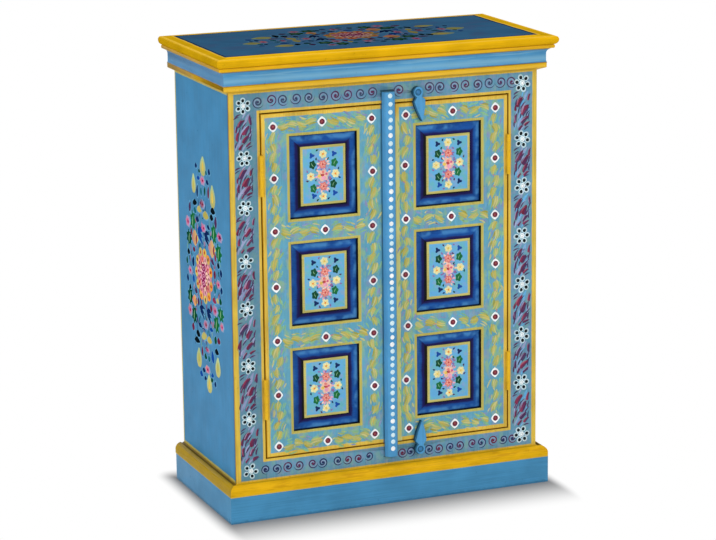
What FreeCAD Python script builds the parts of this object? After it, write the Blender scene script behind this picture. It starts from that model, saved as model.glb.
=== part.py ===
import FreeCAD, Part
import math
import os

# Painted two-door cabinet on a plinth. Millimetres, +Z up, the doors face -Y.
# The origin is on the floor, at the centre of the top board's outline.

# Case: its height is the sum of plinth, bottom rail, doors, header, cornice and top
CASE_WIDTH = 616.0
CASE_DEPTH = 302.0
SIDE_THICKNESS = 18.0
BACK_THICKNESS = 6.0
BACK_REBATE = 8.0
BACK_FOOT_HEIGHT = 30.0
HOUSING_DEPTH = 6.0

# Top board, with a round nose on the front and both ends
TOP_THICKNESS = 16.5
TOP_OVERHANG = 31.0
TOP_NOSE_UPPER_RADIUS = 6.0
TOP_NOSE_LOWER_RADIUS = 10.0

# Cornice, from the case up: collar with a sloped underside, cove, bead
COLLAR_HEIGHT = 14.5
COLLAR_OVERHANG = 13.8
COLLAR_SLOPE_OVERHANG = 12.3
COLLAR_SLOPE_RISE = 5.0
COLLAR_EASE_RISE = 2.0
COVE_LIP_OVERHANG = 14.3
COVE_WAIST_OVERHANG = 12.8
COVE_LIP_RISE = 5.5
COVE_STRAIGHT = 11.8
COVE_RADIUS = 11.2
BEAD_HEIGHT = 6.5
BEAD_BULGE = 1.2

# Plinth
PLINTH_THICKNESS = 18.0
PLINTH_BOARD_HEIGHT = 51.0
PLINTH_MOULDING_HEIGHT = 21.0
PLINTH_LEDGE = 7.0
PLINTH_LEDGE_RIM = 0.8
PLINTH_HOLLOW_DEPTH = 1.8
PLINTH_NOSE_DROP = 14.0
REAR_RAIL_THICKNESS = 18.0
REAR_TOP_RAIL_HEIGHT = 45.0
CORNER_BLOCK_LEG = 32.0
CORNER_BLOCK_HEIGHT = 60.0

# Face frame
FRAME_THICKNESS = 20.0
FRAME_STILE_WIDTH = 59.5
HEADER_SIGHT = 40.8
BOTTOM_RAIL_SIGHT = 41.6
BOTTOM_RAIL_HIDDEN = 20.0
FRAME_TENON_LENGTH = 30.0
FRAME_TENON_THICKNESS = 7.0
FRAME_TENON_SHOULDER = 9.0

# Inside
BOTTOM_BOARD_THICKNESS = 16.0
DOOR_STOP_RISE = 8.0
SHELF_THICKNESS = 18.0
SHELF_SETBACK = 22.0
SHELF_PLAY = 1.0
CLEAT_WIDTH = 15.0
CLEAT_HEIGHT = 20.0
CLEAT_SETBACK = 12.0

# Doors
PANEL_ROWS = 3
PANEL_SIGHT_HEIGHT = 155.4
END_RAIL_WIDTH = 44.4
MIDDLE_RAIL_WIDTH = 46.8
HINGE_STILE_WIDTH = 54.4
MEETING_STILE_WIDTH = 57.8
DOOR_THICKNESS = 20.0
DOOR_PROUD = 0.5
DOOR_GAP = 1.75
MEETING_GAP = 2.0
DOOR_TENON_LENGTH = 28.0
DOOR_TENON_SHOULDER = 3.0
MORTISE_CLEARANCE = 1.0

# Raised panels: depths are measured back from the face of the door frame
PANEL_FIELD_DEPTH = 2.5
PANEL_STEP = 1.5
PANEL_EDGE_DEPTH = 7.0
PANEL_TONGUE_THICKNESS = 6.0
PANEL_TONGUE_LENGTH = 7.0
PANEL_MARGIN = 22.4
GROOVE_CLEARANCE = 1.0

# Centre strip on the right door
STRIP_WIDTH = 26.0
STRIP_OFFSET = 3.4
STRIP_EDGE_HEIGHT = 2.5
STRIP_CROWN = 9.5
STRIP_RELIEF = 0.5
STRIP_UPPER_LAP = 22.0
STRIP_LOWER_LAP = 24.5

# Butt hinges
HINGE_LENGTH = 76.0
HINGE_UPPER_INSET = 75.0
HINGE_LOWER_INSET = 75.0
KNUCKLE_COUNT = 5
KNUCKLE_GAP = 0.3
BARREL_RADIUS = 4.0
BARREL_CLEARANCE = 0.4
LEAF_DEPTH = 17.0
LEAF_THICKNESS = 2.0
PIN_RADIUS = 1.6
PIN_CLEARANCE = 0.05

# Turn buttons
BUTTON_PIVOT_ACROSS = 61.0
BUTTON_PIVOT_INSET = 17.5
BUTTON_THICKNESS = 8.0
BUTTON_HEAD_RADIUS = 10.5
BUTTON_NECK_HALF_WIDTH = 7.6
BUTTON_NECK_DROP = 11.0
BUTTON_SHOULDER_HALF_WIDTH = 12.3
BUTTON_SHOULDER_DROP = 16.5
BUTTON_BELLY_HALF_WIDTH = 8.6
BUTTON_BELLY_DROP = 35.0
BUTTON_TIP_HALF_WIDTH = 1.6
BUTTON_LENGTH = 56.0
BUTTON_EDGE_CHAMFER = 1.0
BUTTON_STANDOFF = 1.0
WASHER_THICKNESS = 0.9
WASHER_RADIUS = 5.5
PIVOT_SHANK_RADIUS = 2.0
PIVOT_CLEARANCE = 0.05
PIVOT_HEAD_RADIUS = 3.6
PIVOT_HEAD_HEIGHT = 2.0
PIVOT_HEAD_CLEARANCE = 0.2
PIVOT_BITE = 16.0
UPPER_BUTTON_LEAN_DEGREES = 8.0
LOWER_BUTTON_LEAN_DEGREES = 3.0

# One overrun serves every cut that has to pass right through
OVERRUN = 5.0

# Edges this near to a plane count as lying in it
EDGE_SLACK = 0.05

# A quarter turn's midpoint, as a share of its radius
QUARTER_SHARE = math.sin(math.pi / 4)

# Places that follow from the sizes above
HALF_CASE = CASE_WIDTH / 2
FRONT = (TOP_OVERHANG - CASE_DEPTH) / 2
BACK = FRONT + CASE_DEPTH
INNER_BACK = BACK - BACK_THICKNESS
FRAME_BACK = FRONT + FRAME_THICKNESS
HALF_INSIDE = HALF_CASE - SIDE_THICKNESS
PLINTH_TOP = PLINTH_BOARD_HEIGHT + PLINTH_MOULDING_HEIGHT
CORNICE_HEIGHT = COLLAR_HEIGHT + COVE_LIP_RISE + COVE_STRAIGHT + COVE_RADIUS + BEAD_HEIGHT

DOOR_HEIGHT = (PANEL_ROWS * PANEL_SIGHT_HEIGHT + 2 * END_RAIL_WIDTH
               + (PANEL_ROWS - 1) * MIDDLE_RAIL_WIDTH)
HALF_OPENING = HALF_CASE - FRAME_STILE_WIDTH
OPENING_BOTTOM = PLINTH_TOP + BOTTOM_RAIL_SIGHT
DOOR_BOTTOM = OPENING_BOTTOM + DOOR_GAP
DOOR_TOP = DOOR_BOTTOM + DOOR_HEIGHT
OPENING_TOP = DOOR_TOP + DOOR_GAP
CASE_TOP = OPENING_TOP + HEADER_SIGHT + CORNICE_HEIGHT
OVERALL_HEIGHT = CASE_TOP + TOP_THICKNESS
DOOR_FACE = FRONT - DOOR_PROUD
DOOR_BACK = DOOR_FACE + DOOR_THICKNESS
DOOR_OUTER = HALF_OPENING - DOOR_GAP
DOOR_INNER = MEETING_GAP / 2

GROOVE_DEPTH = PANEL_TONGUE_LENGTH + GROOVE_CLEARANCE
GROOVE_FACE = DOOR_FACE + PANEL_EDGE_DEPTH
GROOVE_BACK = GROOVE_FACE + PANEL_TONGUE_THICKNESS

AXIS_ACROSS = HALF_OPENING - DOOR_GAP / 2
AXIS_FRONT = DOOR_FACE - BARREL_CLEARANCE - BARREL_RADIUS
HINGE_CENTRES = (DOOR_TOP - HINGE_UPPER_INSET - HINGE_LENGTH / 2,
                 DOOR_BOTTOM + HINGE_LOWER_INSET + HINGE_LENGTH / 2)

BOTTOM_BOARD_TOP = OPENING_BOTTOM + DOOR_STOP_RISE
BOTTOM_BOARD_UNDER = BOTTOM_BOARD_TOP - BOTTOM_BOARD_THICKNESS
SHELF_TOP = (BOTTOM_BOARD_TOP + OPENING_TOP) / 2
SHELF_UNDER = SHELF_TOP - SHELF_THICKNESS
SHELF_FRONT = FRAME_BACK + SHELF_SETBACK

LEFT, RIGHT = -1, 1


def block(x_ends, y_ends, z_ends):
    """Box between two values on each axis, given in either order."""
    low = FreeCAD.Vector(min(x_ends), min(y_ends), min(z_ends))
    high = FreeCAD.Vector(max(x_ends), max(y_ends), max(z_ends))
    size = high - low
    return Part.makeBox(size.x, size.y, size.z, low)


def rod(radius, length, start, direction):
    """Cylinder from a point along a direction."""
    return Part.makeCylinder(radius, length, start, direction)


def fuse_all(solids):
    """One clean solid out of solids that meet."""
    joined = solids[0]
    for solid in solids[1:]:
        joined = joined.fuse(solid)
    return joined.removeSplitter()


def cut_all(solid, tools):
    """The solid less every tool."""
    for tool in tools:
        solid = solid.cut(tool)
    return solid


def flat_face(corners):
    """Flat face inside straight edges from corner to corner."""
    return Part.Face(Part.makePolygon(corners + corners[:1]))


def outline_face(start, steps, place):
    """Face in a closed outline: a step of one point is a line, a step of two points an arc."""
    edges = []
    here = start
    for step in steps:
        if len(step) == 1:
            edges.append(Part.makeLine(place(here), place(step[0])))
        else:
            edges.append(Part.Arc(place(here), place(step[0]), place(step[1])).toShape())
        here = step[-1]
    edges.append(Part.makeLine(place(here), place(start)))
    return Part.Face(Part.Wire(edges))


def quarter_arc(start, end, leaves_outward):
    """Step for a quarter round from start to end that leaves its start outward, or else upward."""
    early, late = 1 - QUARTER_SHARE, QUARTER_SHARE
    out_share, up_share = (late, early) if leaves_outward else (early, late)
    middle = (start[0] + (end[0] - start[0]) * out_share, start[1] + (end[1] - start[1]) * up_share)
    return middle, end


# Mitred runs round the case

def mitre_zone(run, reach, bottom, top):
    """The space of one run of moulding, bounded by the 45 degree mitres at the front corners."""
    if run == "front":
        plan = [(-HALF_CASE, FRONT), (HALF_CASE, FRONT),
                (HALF_CASE + reach, FRONT - reach), (-HALF_CASE - reach, FRONT - reach)]
    else:
        side = LEFT if run == "left" else RIGHT
        plan = [(side * HALF_CASE, FRONT), (side * (HALF_CASE + reach), FRONT - reach),
                (side * (HALF_CASE + reach), BACK), (side * HALF_CASE, BACK)]
    corners = [FreeCAD.Vector(x, y, bottom) for x, y in plan]
    return flat_face(corners).extrude(FreeCAD.Vector(0, 0, top - bottom))


def moulding_run(run, start, steps, reach, bottom, top):
    """One run of a moulding whose outline is given as (overhang, height) points."""
    if run == "front":
        length = CASE_WIDTH + 2 * reach
        first = -length / 2
        face = outline_face(start, steps, lambda p: FreeCAD.Vector(first, FRONT - p[0], p[1]))
        bar = face.extrude(FreeCAD.Vector(length, 0, 0))
    else:
        side = LEFT if run == "left" else RIGHT
        first = FRONT - reach
        face = outline_face(start, steps,
                            lambda p: FreeCAD.Vector(side * (HALF_CASE + p[0]), first, p[1]))
        bar = face.extrude(FreeCAD.Vector(0, BACK - first, 0))
    return bar.common(mitre_zone(run, reach, bottom, top))


def cornice_run(run):
    """Collar, cove and bead in one moulding, under the top board."""
    ease_top = COLLAR_SLOPE_RISE + COLLAR_EASE_RISE
    waist_low = COLLAR_HEIGHT + COVE_LIP_RISE
    waist_high = waist_low + COVE_STRAIGHT
    cove_top = waist_high + COVE_RADIUS
    base = CASE_TOP - CORNICE_HEIGHT

    def at(overhang, rise):
        return overhang, base + rise

    slope_end = at(COLLAR_SLOPE_OVERHANG, COLLAR_SLOPE_RISE)
    cove_out = COVE_WAIST_OVERHANG + COVE_RADIUS
    lip_bend = at(COVE_WAIST_OVERHANG + (COVE_LIP_OVERHANG - COVE_WAIST_OVERHANG) / 4,
                  (COLLAR_HEIGHT + waist_low) / 2)
    steps = [
        (slope_end,),
        quarter_arc(slope_end, at(COLLAR_OVERHANG, ease_top), True),
        (at(COLLAR_OVERHANG, COLLAR_HEIGHT),),
        (at(COVE_LIP_OVERHANG, COLLAR_HEIGHT),),
        (lip_bend, at(COVE_WAIST_OVERHANG, waist_low)),
        (at(COVE_WAIST_OVERHANG, waist_high),),
        quarter_arc(at(COVE_WAIST_OVERHANG, waist_high), at(cove_out, cove_top), False),
        (at(cove_out + BEAD_BULGE, cove_top + BEAD_HEIGHT / 2), at(cove_out, CORNICE_HEIGHT)),
        (at(0, CORNICE_HEIGHT),),
    ]
    return moulding_run(run, at(0, 0), steps, TOP_OVERHANG, base, CASE_TOP)


def plinth_board(run):
    """Plain board round the foot of the case."""
    steps = [((PLINTH_THICKNESS, 0),),
             ((PLINTH_THICKNESS, PLINTH_BOARD_HEIGHT),),
             ((0, PLINTH_BOARD_HEIGHT),)]
    return moulding_run(run, (0, 0), steps, PLINTH_THICKNESS, 0, PLINTH_BOARD_HEIGHT)


def plinth_moulding(run):
    """Nosed moulding on the plinth board, hollowed out against the case."""
    nose_foot = PLINTH_TOP - PLINTH_NOSE_DROP
    nose_start = (PLINTH_THICKNESS, nose_foot)
    steps = [((PLINTH_THICKNESS, PLINTH_BOARD_HEIGHT),),
             (nose_start,),
             quarter_arc(nose_start, (PLINTH_LEDGE, PLINTH_TOP), False),
             (((PLINTH_LEDGE + PLINTH_LEDGE_RIM) / 2, PLINTH_TOP - PLINTH_HOLLOW_DEPTH),
              (PLINTH_LEDGE_RIM, PLINTH_TOP)),
             ((0, PLINTH_TOP),)]
    return moulding_run(run, (0, PLINTH_BOARD_HEIGHT), steps, PLINTH_THICKNESS,
                        PLINTH_BOARD_HEIGHT, PLINTH_TOP)


def top_board():
    """Flat board with its nose rounded on the front and both ends."""
    reach = HALF_CASE + TOP_OVERHANG
    nose = FRONT - TOP_OVERHANG
    board = block((-reach, reach), (nose, BACK), (CASE_TOP, OVERALL_HEIGHT))

    def outer_edges(solid, height):
        found = []
        for edge in solid.Edges:
            middle = edge.BoundBox.Center
            level = edge.BoundBox.ZLength < EDGE_SLACK
            at_height = abs(middle.z - height) < EDGE_SLACK
            if level and at_height and middle.y < BACK - EDGE_SLACK:
                found.append(edge)
        return found

    board = board.makeFillet(TOP_NOSE_UPPER_RADIUS, outer_edges(board, OVERALL_HEIGHT))
    return board.makeFillet(TOP_NOSE_LOWER_RADIUS, outer_edges(board, CASE_TOP))


# Case boards

def bottom_board():
    """Board let into both sides, raised behind the doors as their stop."""
    reach = HALF_INSIDE + HOUSING_DEPTH
    return block((-reach, reach), (FRAME_BACK, INNER_BACK), (BOTTOM_BOARD_UNDER, BOTTOM_BOARD_TOP))


def back_panel():
    """Thin panel in the rebates of the sides."""
    reach = HALF_INSIDE + BACK_REBATE
    return block((-reach, reach), (INNER_BACK, BACK), (BACK_FOOT_HEIGHT, CASE_TOP))


def side_board(side):
    """Side from the floor to the top board, rebated for the back and housed for the bottom board."""
    board = block((side * HALF_INSIDE, side * HALF_CASE), (FRAME_BACK, BACK), (0, CASE_TOP))
    return cut_all(board, [back_panel(), bottom_board()])


def shelf():
    """Loose shelf that lies on the two cleats."""
    reach = HALF_INSIDE - SHELF_PLAY
    return block((-reach, reach), (SHELF_FRONT, INNER_BACK - SHELF_PLAY), (SHELF_UNDER, SHELF_TOP))


def shelf_cleat(side):
    """Batten on the inner face of a side, under the shelf."""
    return block((side * HALF_INSIDE, side * (HALF_INSIDE - CLEAT_WIDTH)),
                 (SHELF_FRONT + CLEAT_SETBACK, INNER_BACK),
                 (SHELF_UNDER - CLEAT_HEIGHT, SHELF_UNDER))


def rear_rail(bottom, top):
    """Rail between the sides, in front of the back panel."""
    return block((-HALF_INSIDE, HALF_INSIDE), (INNER_BACK - REAR_RAIL_THICKNESS, INNER_BACK),
                 (bottom, top))


def corner_blocks():
    """Three-cornered glue blocks under the bottom board, one in each corner."""
    blocks = []
    rear_face = INNER_BACK - REAR_RAIL_THICKNESS
    for side in (LEFT, RIGHT):
        for wall, inward in ((FRAME_BACK, 1), (rear_face, -1)):
            x, leg = side * HALF_INSIDE, side * CORNER_BLOCK_LEG
            foot = BOTTOM_BOARD_UNDER - CORNER_BLOCK_HEIGHT
            corners = [FreeCAD.Vector(x, wall, foot),
                       FreeCAD.Vector(x - leg, wall, foot),
                       FreeCAD.Vector(x, wall + inward * CORNER_BLOCK_LEG, foot)]
            blocks.append(flat_face(corners).extrude(FreeCAD.Vector(0, 0, CORNER_BLOCK_HEIGHT)))
    return Part.makeCompound(blocks)


# Face frame

def frame_rail_with_tenons(bottom, top, tenon_extra=0):
    """Rail between the face frame's stiles with a tenon at each end, which a mortise has longer."""
    middle = (FRONT + FRAME_BACK) / 2
    tenon_reach = HALF_OPENING + FRAME_TENON_LENGTH + tenon_extra
    body = block((-HALF_OPENING, HALF_OPENING), (FRONT, FRAME_BACK), (bottom, top))
    tenon = block((-tenon_reach, tenon_reach),
                  (middle - FRAME_TENON_THICKNESS / 2, middle + FRAME_TENON_THICKNESS / 2),
                  (bottom + FRAME_TENON_SHOULDER, top - FRAME_TENON_SHOULDER))
    return fuse_all([body, tenon])


def header_span():
    """Bottom and top of the header rail."""
    return OPENING_TOP, CASE_TOP


def bottom_rail_span():
    """Bottom and top of the bottom rail, whose foot is hidden by the plinth."""
    return PLINTH_TOP - BOTTOM_RAIL_HIDDEN, OPENING_BOTTOM


def frame_stile(side):
    """Stile from the floor to the top board, mortised for both rails and recessed for the hinges."""
    stile = block((side * HALF_OPENING, side * HALF_CASE), (FRONT, FRAME_BACK), (0, CASE_TOP))
    rails = [frame_rail_with_tenons(*span, MORTISE_CLEARANCE)
             for span in (header_span(), bottom_rail_span())]
    return cut_all(stile, rails + leaf_plates(side, True))


# Doors

def rail_spans():
    """Bottom and top of each door rail, from the lowest up."""
    spans = []
    low = DOOR_BOTTOM
    for row in range(PANEL_ROWS + 1):
        width = END_RAIL_WIDTH if row in (0, PANEL_ROWS) else MIDDLE_RAIL_WIDTH
        spans.append((low, low + width))
        low += width + PANEL_SIGHT_HEIGHT
    return spans


def panel_sights(side):
    """Each panel's visible outline as ((x ends), (z ends)), from the lowest up."""
    outer = side * (DOOR_OUTER - HINGE_STILE_WIDTH)
    inner = side * (DOOR_INNER + MEETING_STILE_WIDTH)
    spans = rail_spans()
    return [((min(outer, inner), max(outer, inner)), (below[1], above[0]))
            for below, above in zip(spans, spans[1:])]


def grown(ends, by):
    """A pair of ends moved apart by the same amount."""
    return ends[0] - by, ends[1] + by


def panel_grooves(side):
    """Space that each panel's tongue fills, with its play."""
    return [block(grown(xs, GROOVE_DEPTH), (GROOVE_FACE, GROOVE_BACK), grown(zs, GROOVE_DEPTH))
            for xs, zs in panel_sights(side)]


def rail_tenon(span, xs, extra):
    """Both tenons of a door rail in one bar, in line with the panel grooves."""
    shoulder = GROOVE_DEPTH + DOOR_TENON_SHOULDER
    return block(grown(xs, DOOR_TENON_LENGTH + extra), (GROOVE_FACE, GROOVE_BACK),
                 (span[0] + shoulder, span[1] - shoulder))


def door_rails(side):
    """The four rails of a door, from the lowest up."""
    xs = panel_sights(side)[0][0]
    rails = []
    for span in rail_spans():
        body = block(xs, (DOOR_FACE, DOOR_BACK), span)
        rail = fuse_all([body, rail_tenon(span, xs, 0)])
        rails.append(cut_all(rail, panel_grooves(side)))
    return rails


def door_stile(side, ends, hinged):
    """Door stile between two values of X, grooved for the panels and mortised for the rails."""
    stile = block(ends, (DOOR_FACE, DOOR_BACK), (DOOR_BOTTOM, DOOR_TOP))
    xs = panel_sights(side)[0][0]
    mortises = [rail_tenon(span, xs, MORTISE_CLEARANCE) for span in rail_spans()]
    stile = cut_all(stile, panel_grooves(side) + mortises)
    if hinged:
        stile = cut_all(stile, leaf_plates(side, False))
    return stile


def rectangle_corners(xs, y, zs):
    """Corners of an upright rectangle at one depth, in order round it."""
    return [FreeCAD.Vector(xs[0], y, zs[0]), FreeCAD.Vector(xs[1], y, zs[0]),
            FreeCAD.Vector(xs[1], y, zs[1]), FreeCAD.Vector(xs[0], y, zs[1])]


def bevel_between(wide, narrow):
    """Solid with four sloping flat sides between two rectangles, each given by its corners."""
    faces = [flat_face(wide), flat_face(narrow)]
    for first in range(len(wide)):
        second = (first + 1) % len(wide)
        faces.append(flat_face([wide[first], wide[second], narrow[second], narrow[first]]))
    return Part.Solid(Part.Shell(faces))


def raised_panel(xs, zs):
    """Panel with a tongue all round, a wide bevel and a raised flat field."""
    field_xs, field_zs = grown(xs, -PANEL_MARGIN), grown(zs, -PANEL_MARGIN)
    field_face = DOOR_FACE + PANEL_FIELD_DEPTH
    bevel_top = field_face + PANEL_STEP
    tongue = block(grown(xs, PANEL_TONGUE_LENGTH), (GROOVE_FACE, GROOVE_BACK),
                   grown(zs, PANEL_TONGUE_LENGTH))
    bevel = bevel_between(rectangle_corners(xs, GROOVE_FACE, zs),
                          rectangle_corners(field_xs, bevel_top, field_zs))
    field = block(field_xs, (field_face, bevel_top), field_zs)
    return fuse_all([tongue, bevel, field])


def centre_strip():
    """Half-round strip over the meeting doors, relieved behind where it laps the left door."""
    left, right = STRIP_OFFSET - STRIP_WIDTH / 2, STRIP_OFFSET + STRIP_WIDTH / 2
    bottom, top = OPENING_BOTTOM - STRIP_LOWER_LAP, OPENING_TOP + STRIP_UPPER_LAP
    edge = DOOR_FACE - STRIP_EDGE_HEIGHT
    crown = edge - STRIP_CROWN
    half_across = STRIP_WIDTH / 2 * QUARTER_SHARE
    flank = edge - STRIP_CROWN * QUARTER_SHARE

    def place(point):
        return FreeCAD.Vector(point[0], point[1], bottom)

    crest = (STRIP_OFFSET, crown)
    middle_left, middle_right = (STRIP_OFFSET - half_across, flank), (STRIP_OFFSET + half_across, flank)
    steps = [((left, edge),), (middle_left, crest), (middle_right, (right, edge)),
             ((right, DOOR_FACE),),
             ((DOOR_INNER, DOOR_FACE),),
             ((DOOR_INNER, DOOR_FACE - STRIP_RELIEF),)]
    face = outline_face((left, DOOR_FACE - STRIP_RELIEF), steps, place)
    return face.extrude(FreeCAD.Vector(0, 0, top - bottom))


# Butt hinges

def leaf_edge(side, on_frame):
    """Wooden edge that a leaf is let into, and the way into that wood along X."""
    if on_frame:
        return side * HALF_OPENING, side
    return side * DOOR_OUTER, -side


def leaf_plate(side, on_frame, centre):
    """The flat part of a leaf, flush with the edge that it is let into."""
    edge, into = leaf_edge(side, on_frame)
    face = FRONT if on_frame else DOOR_FACE
    return block((edge, edge + into * LEAF_THICKNESS), (face, face + LEAF_DEPTH),
                 (centre - HINGE_LENGTH / 2, centre + HINGE_LENGTH / 2))


def leaf_plates(side, on_frame):
    """The flat parts of a door's leaves on one side of the gap, as the stile's recesses."""
    return [leaf_plate(side, on_frame, centre) for centre in HINGE_CENTRES]


def hinge_leaf(side, on_frame, centre):
    """Leaf with its knuckles: the frame leaf has the odd ones, the door leaf those between."""
    edge, into = leaf_edge(side, on_frame)
    face = FRONT if on_frame else DOOR_FACE
    pitch = HINGE_LENGTH / KNUCKLE_COUNT
    bottom = centre - HINGE_LENGTH / 2
    axis_x = side * AXIS_ACROSS
    up = FreeCAD.Vector(0, 0, 1)
    pieces = [leaf_plate(side, on_frame, centre)]
    for number in range(0 if on_frame else 1, KNUCKLE_COUNT, 2):
        low = bottom + number * pitch + KNUCKLE_GAP / 2
        height = pitch - KNUCKLE_GAP
        pieces.append(rod(BARREL_RADIUS, height, FreeCAD.Vector(axis_x, AXIS_FRONT, low), up))
        pieces.append(block((edge, edge + into * LEAF_THICKNESS), (AXIS_FRONT, face),
                            (low, low + height)))
    bore = rod(PIN_RADIUS + PIN_CLEARANCE, HINGE_LENGTH + 2 * OVERRUN,
               FreeCAD.Vector(axis_x, AXIS_FRONT, bottom - OVERRUN), up)
    return fuse_all(pieces).cut(bore)


def hinge_pins():
    """Four pins, each flush with both ends of its barrel."""
    up = FreeCAD.Vector(0, 0, 1)
    pins = []
    for side in (LEFT, RIGHT):
        for centre in HINGE_CENTRES:
            foot = FreeCAD.Vector(side * AXIS_ACROSS, AXIS_FRONT, centre - HINGE_LENGTH / 2)
            pins.append(rod(PIN_RADIUS, HINGE_LENGTH, foot, up))
    return Part.makeCompound(pins)


# Turn buttons

def button_pivot(upper):
    """Pivot of a turn button, on the face of its rail."""
    height = OPENING_TOP + BUTTON_PIVOT_INSET if upper else OPENING_BOTTOM - BUTTON_PIVOT_INSET
    return FreeCAD.Vector(BUTTON_PIVOT_ACROSS, FRONT, height)


def button_outline(pivot, tail, depth, inset):
    """Face in the outline of a turn button at one depth, drawn in all round by an inset."""
    radius = BUTTON_HEAD_RADIUS - inset
    head_drop = radius * QUARTER_SHARE
    tip_half_width = BUTTON_TIP_HALF_WIDTH - inset / 2
    end = BUTTON_LENGTH - inset

    def place(point):
        return FreeCAD.Vector(pivot.x + point[0], depth, pivot.z + tail * point[1])

    def mirrored(point):
        return -point[0], point[1]

    cheek = (head_drop, head_drop)
    neck = (BUTTON_NECK_HALF_WIDTH - inset, BUTTON_NECK_DROP)
    shoulder = (BUTTON_SHOULDER_HALF_WIDTH - inset, BUTTON_SHOULDER_DROP)
    belly = (BUTTON_BELLY_HALF_WIDTH - inset, BUTTON_BELLY_DROP)
    tip = (tip_half_width, end - tip_half_width)
    steps = [((0, -radius), cheek),
             (neck,),
             (shoulder,),
             (belly, tip),
             ((0, end), mirrored(tip)),
             (mirrored(belly), mirrored(shoulder)),
             (mirrored(neck),)]
    return outline_face(mirrored(cheek), steps, place)


def turn_button(upper):
    """Flat button with a round head, a neck and a tapered tail that laps the right door."""
    pivot = button_pivot(upper)
    tail = -1 if upper else 1
    back = FRONT - BUTTON_STANDOFF
    front = back - BUTTON_THICKNESS
    edge_start = front + BUTTON_EDGE_CHAMFER
    slab = button_outline(pivot, tail, back, 0)
    rim = button_outline(pivot, tail, edge_start, 0)
    face = button_outline(pivot, tail, front, BUTTON_EDGE_CHAMFER)
    eased = Part.makeLoft([rim.OuterWire, face.OuterWire], True, True)
    body = fuse_all([slab.extrude(FreeCAD.Vector(0, edge_start - back, 0)), eased])
    bore = rod(PIVOT_SHANK_RADIUS + PIVOT_CLEARANCE, BUTTON_THICKNESS + 2 * OVERRUN,
               FreeCAD.Vector(pivot.x, back + OVERRUN, pivot.z), FreeCAD.Vector(0, -1, 0))
    body = body.cut(bore)
    lean = UPPER_BUTTON_LEAN_DEGREES if upper else LOWER_BUTTON_LEAN_DEGREES
    body.rotate(pivot, FreeCAD.Vector(0, tail, 0), lean)
    return body


def pivot_screw(upper):
    """Round-headed screw through a turn button into its rail."""
    pivot = button_pivot(upper)
    out = FreeCAD.Vector(0, -1, 0)
    seat = BUTTON_STANDOFF + BUTTON_THICKNESS + PIVOT_HEAD_CLEARANCE
    shank = rod(PIVOT_SHANK_RADIUS, PIVOT_BITE + seat, pivot - out * PIVOT_BITE, out)
    head = Part.makeCone(PIVOT_HEAD_RADIUS, PIVOT_SHANK_RADIUS, PIVOT_HEAD_HEIGHT,
                         pivot + out * seat, out)
    return fuse_all([shank, head])


def pivot_washer(upper):
    """Washer between a turn button and its rail."""
    pivot = button_pivot(upper)
    out = FreeCAD.Vector(0, -1, 0)
    washer = rod(WASHER_RADIUS, WASHER_THICKNESS, pivot, out)
    hole = rod(PIVOT_SHANK_RADIUS + PIVOT_CLEARANCE, WASHER_THICKNESS + 2 * OVERRUN,
               pivot - out * OVERRUN, out)
    return washer.cut(hole)


# The whole cabinet

def case_nodes():
    """Everything that stands still, apart from the hinge leaves."""
    nodes = {
        "top_board": top_board(),
        "back_panel": back_panel(),
        "bottom_board": bottom_board(),
        "shelf": shelf(),
        "rear_top_rail": rear_rail(CASE_TOP - REAR_TOP_RAIL_HEIGHT, CASE_TOP),
        "rear_plinth_rail": rear_rail(0, BOTTOM_BOARD_UNDER),
        "corner_blocks": corner_blocks(),
        "header_rail": frame_rail_with_tenons(*header_span()).cut(pivot_screw(True)),
        "bottom_rail": frame_rail_with_tenons(*bottom_rail_span()).cut(pivot_screw(False)),
        "turn_button_screws": Part.makeCompound([pivot_screw(True), pivot_screw(False)]),
        "turn_button_washers": Part.makeCompound([pivot_washer(True), pivot_washer(False)]),
        "hinge_pins": hinge_pins(),
    }
    for run in ("front", "left", "right"):
        nodes["cornice_" + run] = cornice_run(run)
        nodes["plinth_" + run] = plinth_board(run)
        nodes["plinth_moulding_" + run] = plinth_moulding(run)
    for name, side in (("left", LEFT), ("right", RIGHT)):
        nodes[name + "_side"] = side_board(side)
        nodes[name + "_shelf_cleat"] = shelf_cleat(side)
        nodes[name + "_frame_stile"] = frame_stile(side)
    return nodes


def door_nodes(name, side):
    """One door's frame and panels."""
    nodes = {}
    hinge_ends = (side * (DOOR_OUTER - HINGE_STILE_WIDTH), side * DOOR_OUTER)
    meeting_ends = (side * DOOR_INNER, side * (DOOR_INNER + MEETING_STILE_WIDTH))
    nodes[name + "_door_hinge_stile"] = door_stile(side, hinge_ends, True)
    nodes[name + "_door_meeting_stile"] = door_stile(side, meeting_ends, False)
    for number, rail in enumerate(door_rails(side), start=1):
        nodes[name + "_door_rail_" + str(number)] = rail
    for number, (xs, zs) in enumerate(panel_sights(side), start=1):
        nodes[name + "_door_panel_" + str(number)] = raised_panel(xs, zs)
    return nodes


def hinge_nodes(name, side):
    """Both leaves of a door's upper and lower hinge."""
    nodes = {}
    for level, centre in zip(("upper", "lower"), HINGE_CENTRES):
        nodes[name + "_" + level + "_frame_leaf"] = hinge_leaf(side, True, centre)
        nodes[name + "_" + level + "_door_leaf"] = hinge_leaf(side, False, centre)
    return nodes


def all_nodes():
    """Every node of the cabinet under its own name."""
    nodes = case_nodes()
    for name, side in (("left", LEFT), ("right", RIGHT)):
        nodes.update(door_nodes(name, side))
        nodes.update(hinge_nodes(name, side))
    nodes["centre_strip"] = centre_strip()
    nodes["upper_turn_button"] = turn_button(True)
    nodes["lower_turn_button"] = turn_button(False)
    return nodes


def main():
    os.makedirs("parts", exist_ok=True)
    for name, shape in all_nodes().items():
        shape.exportStep("parts/" + name + ".step")


main()
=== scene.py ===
import functools
import logging
import math
import random
from collections.abc import Callable, Iterable, Sequence
from dataclasses import dataclass
from enum import Enum

import bmesh
import bpy
from mathutils import Matrix, Vector


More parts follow.
